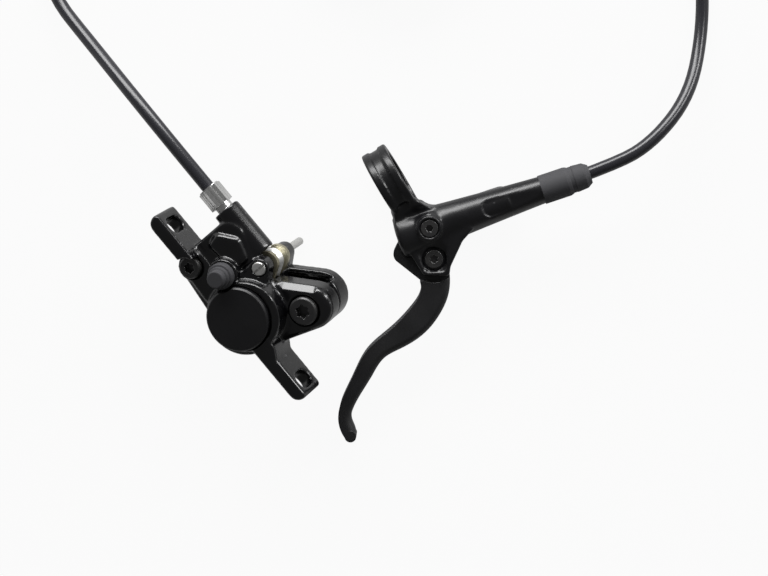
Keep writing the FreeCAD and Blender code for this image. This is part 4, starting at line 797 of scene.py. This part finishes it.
@dataclass(frozen=True)
class Sleeve(Span):
    """A wall round a bore.

    Attributes:
        inner: Its inner radius.
        outer: Its outer radius.
        sides: Its number of sides.
    """

    inner: float
    outer: float
    sides: int = 48

    def add(self, form: bmesh.types.BMesh) -> None:
        """Add it to a mesh.

        Args:
            form: The mesh.
        """
        way = (self.end - self.start).normalized()
        across = way.cross(Vector((0, 0, 1))).normalized()
        up = across.cross(way)
        rings = []
        for centre, radius in ((self.start, self.inner), (self.start, self.outer),
                               (self.end, self.outer), (self.end, self.inner)):
            ring = []
            for step in range(self.sides):
                angle = 2 * math.pi * step / self.sides
                spoke = across * math.cos(angle) + up * math.sin(angle)
                ring.append(form.verts.new((centre + spoke * radius) * MM))
            rings.append(ring)
        for here, there in zip(rings, rings[1:] + rings[:1]):
            for step in range(self.sides):
                after = (step + 1) % self.sides
                form.faces.new((here[step], here[after], there[after], there[step]))


@dataclass(frozen=True)
class Flat(Span):
    """A flat that is planed along an edge.

    Attributes:
        normal: The way that the flat faces.
        depth: How far under the edge it lies.
        reach: How far from the edge it is planed.
        fade: How steeply its depth grows from either end.
    """

    normal: Vector
    depth: float
    reach: float
    fade: float = 8.0

    def moved(self, spot: Vector) -> Vector:
        """Where a spot lies once the flat is planed.

        Args:
            spot: The spot, in millimetres.

        Returns:
            The spot, moved down to the flat if it stands proud of it.
        """
        place, off = self.locate(spot)
        if not 0.0 < place < 1.0 or off.length > self.reach:
            return spot
        depth = self.depth * min(1.0, self.fade * min(place, 1.0 - place))
        proud = self.normal.dot(spot - self.start) + depth
        return spot - self.normal * proud if proud > 0.0 else spot


@dataclass(frozen=True)
class Crest(Span):
    """A barrel whose crest is turned free of the ground on its left, along its axis's span.

    Attributes:
        first: The barrel's radius at its first end.
        last: Its radius at its other end.
        hold: How far across it is turned.
        fade: Over what width the ground comes back.
        floor: The least height over the axis that is turned.
        onset: How steeply the cut grows from the first end.
    """

    first: float
    last: float
    hold: float
    fade: float
    floor: float = 2.0
    onset: float = 20.0

    def moved(self, spot: Vector) -> Vector:
        """Where a spot lies once the crest is turned.

        Args:
            spot: The spot, in millimetres.

        Returns:
            The spot, moved down to the barrel if it stands proud of it.
        """
        place, off = self.locate(spot)
        along = self.end - self.start
        across = off.dot(Vector((-along.y, along.x, 0.0)).normalized())
        if not 0.0 < place < 1.0 or off.z < self.floor or not 0.0 < across < self.hold + self.fade:
            return spot
        radius = self.first + (self.last - self.first) * place
        level = math.sqrt(radius * radius - min(across, self.hold) ** 2)
        if off.z <= level:
            return spot
        share = min(1.0, self.onset * place) * (1.0 - max(0.0, across - self.hold) / self.fade)
        return spot - Vector((0.0, 0.0, (off.z - level) * share))


@dataclass
class Casting:
    """A casting, shown with the soft blends that it has between its forms.

    Attributes:
        node: The CAD node that it stands for.
        slot: The record's material slot; not used.
        finish: Its finish.
        voxel: Size of the cells that its skin is made of.
        passes: Smoothing passes over the whole skin.
        blends: The runs that are smoothed more.
        blend_passes: Smoothing passes along those runs.
        crisp: The discs that stay crisp.
        extras: Webs and sleeves that are added under the skin.
        crests: Crests that are turned before the smoothing.
        flats: Flats that are planed after it.
        crumb: The fewest vertices of a shell that stays.
    """

    node: str
    slot: str
    finish: Kit
    voxel: float
    passes: int
    blends: list[Blend] = field(default_factory=list)
    blend_passes: int = 0
    crisp: list[CrispDisc] = field(default_factory=list)
    extras: list[Web | Sleeve] = field(default_factory=list)
    crests: list[Crest] = field(default_factory=list)
    flats: list[Flat] = field(default_factory=list)
    crumb: int = 200

    def share(self, spot: Vector) -> float:
        """How strongly the skin is blended at a spot.

        Args:
            spot: The spot, in millimetres.

        Returns:
            The share, from 0 to 1.
        """
        share = max((blend.share(spot) for blend in self.blends), default=0.0)
        for disc in self.crisp:
            share *= disc.share(spot)
        return share

    def skin(self) -> bpy.types.Object:
        """Wrap the CAD node, with what is added to it, in a skin of even cells.

        Returns:
            The skin.
        """
        form = bmesh.new()
        form.from_mesh(frame["nodes"][self.node].data)
        bmesh.ops.remove_doubles(form, verts=form.verts, dist=0.001 * MM)
        for extra in self.extras:
            extra.add(form)
        mesh = bpy.data.meshes.new(self.node + "_form")
        form.to_mesh(mesh)
        form.free()
        host = placed(self.node + "_form", mesh)
        remesh = host.modifiers.new("skin", "REMESH")
        remesh.mode = "VOXEL"
        remesh.voxel_size = self.voxel * MM
        skin = plain_copy(host, self.node + "_skin")
        drop_crumbs(skin.data, self.crumb)
        return skin

    def smooth(self, skin: bpy.types.Object) -> bpy.types.Object:
        """Smooth a skin, along the blends more than elsewhere.

        Args:
            skin: The skin, which is used up.

        Returns:
            The smooth skin.
        """
        light = skin.modifiers.new("light", "SMOOTH")
        light.iterations = self.passes
        if self.blends:
            group = skin.vertex_groups.new(name="blend")
            for vertex in skin.data.vertices:
                share = self.share(vertex.co / MM)
                if share > 0.0:
                    group.add([vertex.index], share, "REPLACE")
            strong = skin.modifiers.new("strong", "SMOOTH")
            strong.iterations = self.blend_passes
            strong.vertex_group = group.name
        return plain_copy(skin, self.node + "_casting")

    def cut(self, mesh: bpy.types.Mesh, tools: list[Crest] | list[Flat]) -> None:
        """Turn crests or plane flats, apart from where the skin stays crisp.

        Args:
            mesh: The skin's mesh.
            tools: The crests or flats.
        """
        for vertex in mesh.vertices if tools else ():
            spot = vertex.co / MM
            if all(disc.off(spot) >= 1.0 for disc in self.crisp):
                for tool in tools:
                    spot = tool.moved(spot)
                vertex.co = spot * MM

    def build(self) -> bpy.types.Object:
        """Make the softened casting.

        Returns:
            The piece.
        """
        skin = self.skin()
        self.cut(skin.data, self.crests)
        casting = self.smooth(skin)
        self.cut(casting.data, self.flats)
        casting.data.materials.clear()
        casting.data.materials.append(self.finish.material())
        casting.data.shade_smooth()
        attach(casting, "root")
        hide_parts(self.node)
        log.info("piece %s: %d faces", casting.name, len(casting.data.polygons))
        return casting


def strap_tree() -> NodeTree:
    """The tree that turns a path into a flat strap with teeth across it.

    Returns:
        The tree.
    """
    number = "NodeSocketFloat"
    tree = NodeTree("toothed_strap", {
        "Width": number, "Thickness": number, "Tooth Pitch": number, "Tooth Width": number,
        "Tooth Height": number, "Tooth Length": number, "Material": "NodeSocketMaterial"})
    curve = tree.add("GeometryNodeMeshToCurve", None, {"Mesh": tree.given("Geometry")})
    profile = tree.add("GeometryNodeCurvePrimitiveQuadrilateral", None,
                       {"Width": tree.given("Width"), "Height": tree.given("Thickness")})
    shape = tree.add("GeometryNodeCurveToMesh", None,
                     {"Curve": curve, "Profile Curve": profile, "Fill Caps": True})
    spots = tree.add("GeometryNodeCurveToPoints", {"mode": "LENGTH"},
                     {"Curve": curve, "Length": tree.given("Tooth Pitch")})
    size = tree.add("ShaderNodeCombineXYZ", None,
                    {"X": tree.given("Tooth Width"), "Y": tree.given("Tooth Height"),
                     "Z": tree.given("Tooth Length")})
    tooth = tree.add("GeometryNodeMeshCube", None, {"Size": size})
    teeth = tree.add("GeometryNodeInstanceOnPoints", None,
                     {"Points": spots, "Instance": tooth, "Rotation": spots.node.outputs["Rotation"]})
    whole = tree.add("GeometryNodeJoinGeometry", None, {"Geometry": [shape, teeth]})
    tree.close(whole, tree.given("Material"))
    return tree


@dataclass
class MasterSpring:
    """The coil spring in the master cylinder, which shortens as the piston comes in.

    Attributes:
        first: The centre of its first turn.
        way: Its direction away from the piston.
        reach: Its length between the centres of its end turns.
        mean: Its mean radius.
        wire: The wire's radius.
        turns: Number of turns.
        stroke: How far the piston may come in.
    """

    first: Vector
    way: Vector
    reach: float = 13.4
    mean: float = 4.0
    wire: float = 0.5
    turns: float = 5.0
    stroke: float = 4.2

    @staticmethod
    def tree() -> NodeTree:
        """The tree that winds the wire.

        Returns:
            The tree.
        """
        number = "NodeSocketFloat"
        tree = NodeTree("coil_spring", {"Mean Radius": number, "Reach": number, "Turns": number,
                                        "Wire Radius": number, "Material": "NodeSocketMaterial"})
        helix = tree.add("GeometryNodeCurveSpiral", None,
                         {"Resolution": 36, "Rotations": tree.given("Turns"),
                          "Start Radius": tree.given("Mean Radius"), "End Radius": tree.given("Mean Radius"),
                          "Height": tree.given("Reach")})
        ring = tree.add("GeometryNodeCurvePrimitiveCircle", None,
                        {"Resolution": 12, "Radius": tree.given("Wire Radius")})
        wire = tree.add("GeometryNodeCurveToMesh", None,
                        {"Curve": helix, "Profile Curve": ring, "Fill Caps": True})
        tree.close(wire, tree.given("Material"))
        return tree

    def build(self) -> None:
        """Wind the spring and set it in the bore."""
        host = path_object("spring_form", [Vector((0, 0, 0)), Vector((0, 0, 1))])
        self.tree().run(host, {"Mean Radius": self.mean * MM, "Reach": self.reach * MM, "Turns": self.turns,
                               "Wire Radius": self.wire * MM, "Material": Kit.SPRING_STEEL.material()})
        spring = plain_copy(host, "master_spring_coil")
        turn = self.way.to_track_quat("Z", "Y").to_matrix().to_4x4()
        spring.data.transform(Matrix.Translation(self.first * MM) @ turn)
        shade_by_angle(spring.data, 40)
        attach(spring, "root")
        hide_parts("master_spring")
        far = self.first + self.way * (self.reach + self.wire)
        whole = self.reach + 2 * self.wire
        tuple(far * MM)
        (whole - self.stroke) / whole
        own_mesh(spring)
        log.info("piece %s", spring.name)


@dataclass
class PadSaddle:
    """The bright sheet saddle that straddles the pad pin between the two backing plates.

    Attributes:
        seat: The caliper's own frame.
        pin: The pad pin's place in that frame.
        reach: Radius of its bend round the pin, at its middle.
        leg: Length of its legs.
        half: Half its width along the pin.
        slope: How far each half falls towards its rim.
        sheet: Thickness of its sheet.
        steps: Steps in its bend.
    """

    seat: Matrix
    pin: tuple[float, float] = (17.1, 9.1)
    reach: float = 4.5
    leg: float = 4.6
    half: float = 3.9
    slope: float = 2.3
    sheet: float = 0.45
    steps: int = 12

    def path(self) -> list[Vector]:
        """The sheet's middle line, from one foot over the pin to the other.

        Returns:
            The points, in millimetres, in the caliper's frame.
        """
        pin = Vector((*self.pin, 0.0))
        out = pin.normalized()
        side = Vector((-out.y, out.x, 0.0))
        bend = [math.pi / 2 - math.pi * step / self.steps for step in range(self.steps + 1)]
        over = [pin + (out * math.cos(angle) + side * math.sin(angle)) * self.reach for angle in bend]
        return [over[0] - out * self.leg] + over + [over[-1] - out * self.leg]

    def tree(self) -> NodeTree:
        """The tree that bends a sheet with two slopes along a path.

        Returns:
            The tree.
        """
        number = "NodeSocketFloat"
        tree = NodeTree("bent_sheet", {"Half Width": number, "Slope": number, "Material": "NodeSocketMaterial"})
        curve = tree.add("GeometryNodeMeshToCurve", None, {"Mesh": tree.given("Geometry")})
        rims = []
        for sign in (-1.0, 1.0):
            across = tree.add("ShaderNodeMath", {"operation": "MULTIPLY"},
                              {0: tree.given("Half Width"), 1: sign})
            rims.append(tree.add("ShaderNodeCombineXYZ", None, {"X": tree.given("Slope"), "Y": across}))
        halves = [tree.add("GeometryNodeCurvePrimitiveLine", None, {"Start": rim, "End": (0.0, 0.0, 0.0)})
                  for rim in rims]
        sheets = [tree.add("GeometryNodeCurveToMesh", None, {"Curve": curve, "Profile Curve": half})
                  for half in halves]
        both = tree.add("GeometryNodeJoinGeometry", None, {"Geometry": sheets})
        whole = tree.add("GeometryNodeMergeByDistance", None, {"Geometry": both, "Distance": 0.00001})
        tree.close(whole, tree.given("Material"))
        return tree

    def build(self) -> None:
        """Bend the saddle and set it on the pin."""
        host = path_object("saddle_path", self.path())
        self.tree().run(host, {"Half Width": self.half * MM, "Slope": self.slope * MM,
                               "Material": Kit.SPRING_STEEL.material()})
        sheet = host.modifiers.new("sheet", "SOLIDIFY")
        sheet.thickness = self.sheet * MM
        sheet.offset = 0.0
        saddle = plain_copy(host, "pad_saddle")
        saddle.data.transform(self.seat)
        shade_by_angle(saddle.data, 25)
        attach(saddle, "root")
        log.info("piece %s", saddle.name)


@dataclass
class HoseTies:
    """Two toothed straps that hold the coil's turns together.

    Attributes:
        hose: The hose that they hold.
        thickness: The strap's thickness.
        width: The strap's width.
        tooth: Distance between two teeth.
        play: Gap between strap and hose.
        lock: Length and height of the locking head.
        lock_rim: How much wider than the strap the head is.
        tail: Height of the cut-off tail.
        tail_rim: How much thicker and wider than the strap the tail is.
        tooth_rim: How much wider and higher than the strap a tooth is.
        lifts: How far the head's and the tail's centres lie over the strap.
        edge: Width of their rounded edges.
        steps: Steps in each half turn of the strap.
    """

    hose: Hose
    thickness: float = 0.9
    width: float = 3.0
    tooth: float = 1.3
    play: float = 0.03
    lock: tuple[float, float] = (4.4, 2.6)
    lock_rim: float = 1.8
    tail: float = 3.6
    tail_rim: tuple[float, float] = (0.3, -0.4)
    tooth_rim: tuple[float, float] = (-0.8, 0.25)
    lifts: tuple[float, float] = (1.3, 3.0)
    edge: float = 0.35
    steps: int = 14

    def strap_path(self, side: int) -> list[Vector]:
        """The strap's centreline round the strands on one side of the coil.

        Args:
            side: 1 for the side towards +X, -1 for the other.

        Returns:
            The points, in millimetres.
        """
        hose = self.hose
        first = 0.25 if side > 0 else 0.75
        low = hose.ground + 2 * hose.radius * first
        high = low + 2 * hose.radius * (hose.coil_turns - 1)
        reach = hose.radius + self.thickness / 2 + self.play
        x, y = hose.coil_centre[0] + side * hose.coil_radius, hose.coil_centre[1]
        turns = [math.pi * step / self.steps for step in range(self.steps + 1)]
        over = [(high, angle) for angle in turns]
        under = [(low, math.pi + angle) for angle in turns]
        return [Vector((x + reach * math.cos(angle), y, level + reach * math.sin(angle)))
                for level, angle in over + under]

    def heads(self) -> bpy.types.Object:
        """The locking heads, each with its cut-off tail.

        Returns:
            The heads, as one object.
        """
        form = bmesh.new()
        for side in (-1, 1):
            path = self.strap_path(side)
            foot = path[len(path) // 4]
            lock = (self.lock[0], self.width + self.lock_rim, self.lock[1])
            tail = (self.thickness + self.tail_rim[0], self.width + self.tail_rim[1], self.tail)
            for size, lift in zip((lock, tail), self.lifts):
                block = bmesh.ops.create_cube(form, size=1.0)["verts"]
                place = Matrix.Translation((foot + Vector((0, 0, lift))) * MM)
                place @= Matrix.Diagonal((*(Vector(size) * MM), 1.0))
                bmesh.ops.transform(form, matrix=place, verts=block)
        mesh = bpy.data.meshes.new("hose_tie_heads")
        form.to_mesh(mesh)
        form.free()
        host = placed("tie_heads_form", mesh)
        mesh.materials.append(Kit.TIE_PLASTIC.material())
        bevel = host.modifiers.new("edges", "BEVEL")
        bevel.width = self.edge * MM
        bevel.segments = 3
        return plain_copy(host, "hose_tie_heads")

    def build(self) -> None:
        """Make the straps and their heads."""
        tree = strap_tree()
        straps = []
        for side, label in ((-1, "caliper_side"), (1, "lever_side")):
            host = path_object("strap_path_" + label, self.strap_path(side), closed=True)
            tree.run(host, {"Width": self.width * MM, "Thickness": self.thickness * MM,
                            "Tooth Pitch": self.tooth * MM, "Tooth Length": self.tooth / 2 * MM,
                            "Tooth Width": (self.width + self.tooth_rim[0]) * MM,
                            "Tooth Height": (self.thickness + self.tooth_rim[1]) * MM,
                            "Material": Kit.TIE_PLASTIC.material()})
            straps.append(plain_copy(host, "hose_tie_" + label))
        straps.append(self.heads())
        for piece in straps:
            shade_by_angle(piece.data, 35)
            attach(piece, "root")
            log.info("piece %s", piece.name)
        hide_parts("hose_ties")


@dataclass
class Lever:
    """The handlebar lever: its casting and the spring in its bore.

    Attributes:
        leave: A point on the bore's axis, where the hose's insert starts.
        way: The bore's direction towards the hose.
        leave_at: How far along the barrel that point lies.
        bore: The bore's radius.
        wall: The least wall round it.
        scallop: Where along the barrel the scallop starts and ends.
        turned: Where along the barrel its crest is turned free.
        radii: The barrel's radius at either end of that.
        spring_at: Where along the barrel the spring starts.
        band: The run of the body between its left end and the neck.
        bridge: The run from the neck down over the pivot lugs.
        taper: The run past the scallop.
        bleed_boss: The ground round the bleed screw.
        neck_web: The web that fills the notch at the neck's foot.
    """

    leave: Vector
    way: Vector
    leave_at: float = 50.0
    bore: float = 5.0
    wall: float = 0.7
    scallop: tuple[float, float] = (31.5, 44.0)
    turned: tuple[float, float] = (-0.5, 30.0)
    radii: tuple[float, float] = (8.9, 6.75)
    spring_at: float = 29.35
    band: Blend = Blend(Vector((2.3, -14.6)), Vector((22.0, -12.0)), 10.0)
    bridge: Blend = Blend(Vector((18.8, -8.0)), Vector((20.6, -18.5)), 7.5)
    taper: Blend = Blend(Vector((37.0, -8.4)), Vector((47.0, -4.8)), 4.5, strength=0.2)
    bleed_boss: CrispDisc = CrispDisc((13.6, -16.8), 5.2)
    neck_web: Web = Web(Vector((3.2, -10.6, 5.3)), Vector((7.8, -9.2, 5.5)), 3.8)

    def along(self, step: float) -> Vector:
        """A point on the bore's axis."""
        return self.leave + self.way * (step - self.leave_at)

    def casting(self) -> Casting:
        """The lever's body.

        Returns:
            The casting, not yet built.
        """
        ends = [self.along(step) for step in self.scallop]
        crest = Crest(*(self.along(step) for step in self.turned), *self.radii, hold=6.2, fade=3.4)
        return Casting("lever_body", "lever_casting", Kit.LEVER_PAINT, voxel=0.36, passes=5,
                       blends=[self.band, self.bridge, self.taper], blend_passes=60, crisp=[self.bleed_boss],
                       extras=[self.neck_web, Sleeve(*ends, self.bore, self.bore + self.wall)], crests=[crest])

    def build(self) -> None:
        """Make the lever's pieces."""
        self.casting().build()
        MasterSpring(self.along(self.spring_at), self.way).build()


@dataclass
class Caliper:
    """The caliper: its two cast halves and the saddle over its pads.

    Attributes:
        place: The caliper's origin.
        heading: Its turn about the vertical, in degrees.
        tilt: How far its face leans, in degrees.
        lobe_flat: The flat along the bolt lobe's edge.
        lug_web: The web that fills the notch beside the inner half's lug.
    """

    place: Triple = (-50.35, -45.9, 6.30464)
    heading: float = 39.7
    tilt: float = -23.7
    lobe_flat: Flat = Flat(Vector((-41.6, -37.85, 21.95)), Vector((-26.6, -40.07, 26.48)),
                           Vector((-0.18, 0.503, 0.8415)).normalized(), depth=0.62, reach=3.2)
    lug_web: Web = Web(Vector((-31.2, -34.7, 9.3)), Vector((-21.9, -36.0, 10.3)), 0.5)

    def seat(self) -> Matrix:
        """The caliper's own frame, in metres.

        Returns:
            The matrix from that frame to the shared one.
        """
        turn = Matrix.Rotation(math.radians(self.heading), 4, "Z")
        lean = Matrix.Rotation(math.radians(self.tilt), 4, "Y")
        return Matrix.Translation(Vector(self.place) * MM) @ turn @ lean

    def build(self) -> None:
        """Make the caliper's pieces."""
        Casting("outer_half", "caliper_casting", Kit.CALIPER_PAINT, voxel=0.38, passes=24,
                flats=[self.lobe_flat]).build()
        Casting("inner_half", "caliper_casting", Kit.CALIPER_PAINT, voxel=0.36, passes=22,
                extras=[self.lug_web]).build()
        PadSaddle(self.seat()).build()


@dataclass(frozen=True)
class Lamp:
    """One softbox.

    Attributes:
        name: Its name.
        place: Where it hangs, in metres.
        size: Its width and height.
        power: Its power in watts.
        aim: What it points at.
    """

    name: str
    place: Triple
    size: tuple[float, float]
    power: float
    aim: Triple = (0.0, -0.03, 0.0)

    def hang(self) -> None:
        """Put it in the scene."""
        data = bpy.data.lights.new(self.name, "AREA")
        data.shape = "RECTANGLE"
        data.size, data.size_y = self.size
        data.energy = self.power
        lamp = placed(self.name, data)
        lamp.location = self.place
        lamp.rotation_euler = (Vector(self.aim) - Vector(self.place)).to_track_quat("-Z", "Y").to_euler()


@dataclass
class Studio:
    """Floor, lamps, world and camera.

    Attributes:
        view_width: Width of the floor's level that the camera sees.
        centre: The point that the camera looks at, seen from above.
        distance: The camera's height above the lever's plane.
        sensor: Width of the camera's sensor, in its own millimetres.
        floor_half: Half the floor's width.
        paper: The floor's colour in the lamps' light.
        seen: Share of its own white that the camera sees in the floor.
        mirrored: Share of it that the brake's gloss sees.
        wall_low: The wall's grey in front of the brake.
        wall_high: The wall's grey behind the brake.
        ceiling: The ceiling's grey.
        lamps: The softboxes.
    """

    view_width: float = 288.0 * MM
    centre: tuple[float, float] = (-2.925 * MM, -39.34 * MM)
    distance: float = 0.8
    sensor: float = 36.0
    floor_half: float = 4.0
    paper: float = 0.4
    seen: float = 0.94
    mirrored: float = 0.24
    wall_low: float = 0.16
    wall_high: float = 0.95
    ceiling: float = 0.12
    lamps: tuple[Lamp, ...] = (Lamp("key", (-0.2, 0.95, 0.55), (1.2, 0.45), 20.0),
                               Lamp("side", (0.85, 0.6, 0.55), (0.22, 0.8), 7.0))

    def camera(self) -> None:
        """Put the camera straight above the brake."""
        data = bpy.data.cameras.new("camera")
        data.sensor_width = self.sensor
        data.lens = self.sensor * self.distance / self.view_width
        data.clip_start = 0.01
        data.clip_end = 20.0
        camera = placed("camera", data)
        camera.location = (*self.centre, self.distance)
        bpy.context.scene.camera = camera

    def floor(self) -> None:
        """Lay the pale floor, which keeps the brake's soft shadow."""
        level = CAD_BOX[0][2]
        mesh = bpy.data.meshes.new("floor")
        half = self.floor_half
        corners = [(x * half, y * half, level) for x, y in ((-1, -1), (1, -1), (1, 1), (-1, 1))]
        mesh.from_pydata(corners, [], [(0, 1, 2, 3)])
        floor = placed("floor", mesh)
        material = bpy.data.materials.new("pale_floor")
        material.use_nodes = True
        graph = Graph(material.node_tree)
        white = graph.add("ShaderNodeEmission", None, {"Color": (1.0, 1.0, 1.0), "Strength": 1.0})
        paper = graph.add("ShaderNodeBsdfDiffuse", None, {"Color": (self.paper,) * 3})
        seen = graph.add("ShaderNodeLightPath", None, None, "Is Camera Ray")
        mirrored = graph.add("ShaderNodeLightPath", None, None, "Is Glossy Ray")
        passed = graph.add("ShaderNodeLightPath", None, None, "Is Transmission Ray")
        share = seen * self.seen + (mirrored + passed) * self.mirrored
        surface = graph.add("ShaderNodeMixShader", None, {0: share, 1: paper, 2: white})
        graph.add("ShaderNodeOutputMaterial", None, {"Surface": surface})
        mesh.materials.append(material)

    def world(self) -> None:
        """A pale wall behind the brake under a darker ceiling."""
        world = bpy.data.worlds.new("studio")
        bpy.context.scene.world = world
        world.use_nodes = True
        graph = Graph(world.node_tree)
        way = graph.add("ShaderNodeTexCoord", output="Generated")
        height = graph.add("ShaderNodeSeparateXYZ", None, {"Vector": way}, "Z")
        north = graph.add("ShaderNodeSeparateXYZ", None, {"Vector": way}, "Y")
        wall = graph.blend(north.clamped(-0.3, 0.5), (self.wall_low,) * 3, (self.wall_high,) * 3)
        colour = graph.blend(height.clamped(0.15, 0.5), wall, (self.ceiling,) * 3)
        ground = graph.add("ShaderNodeBackground", None, {"Color": colour, "Strength": 1.0})
        graph.add("ShaderNodeOutputWorld", None, {"Surface": ground})

    def build(self) -> None:
        """Set the whole studio up."""
        self.camera()
        self.floor()
        self.world()
        for lamp in self.lamps:
            lamp.hang()
        bpy.context.scene.view_settings.view_transform = "Standard"


def main() -> None:
    """Build everything in order."""
    logging.basicConfig(level=logging.INFO, format="%(name)s: %(message)s")
    Studio().build()
    hose = Hose()
    hose.build()
    HoseTies(hose).build()
    Lever(hose.leave, hose.leave_way).build()
    Caliper().build()
    Coat().dress()


if __name__ == "__main__":
    main()
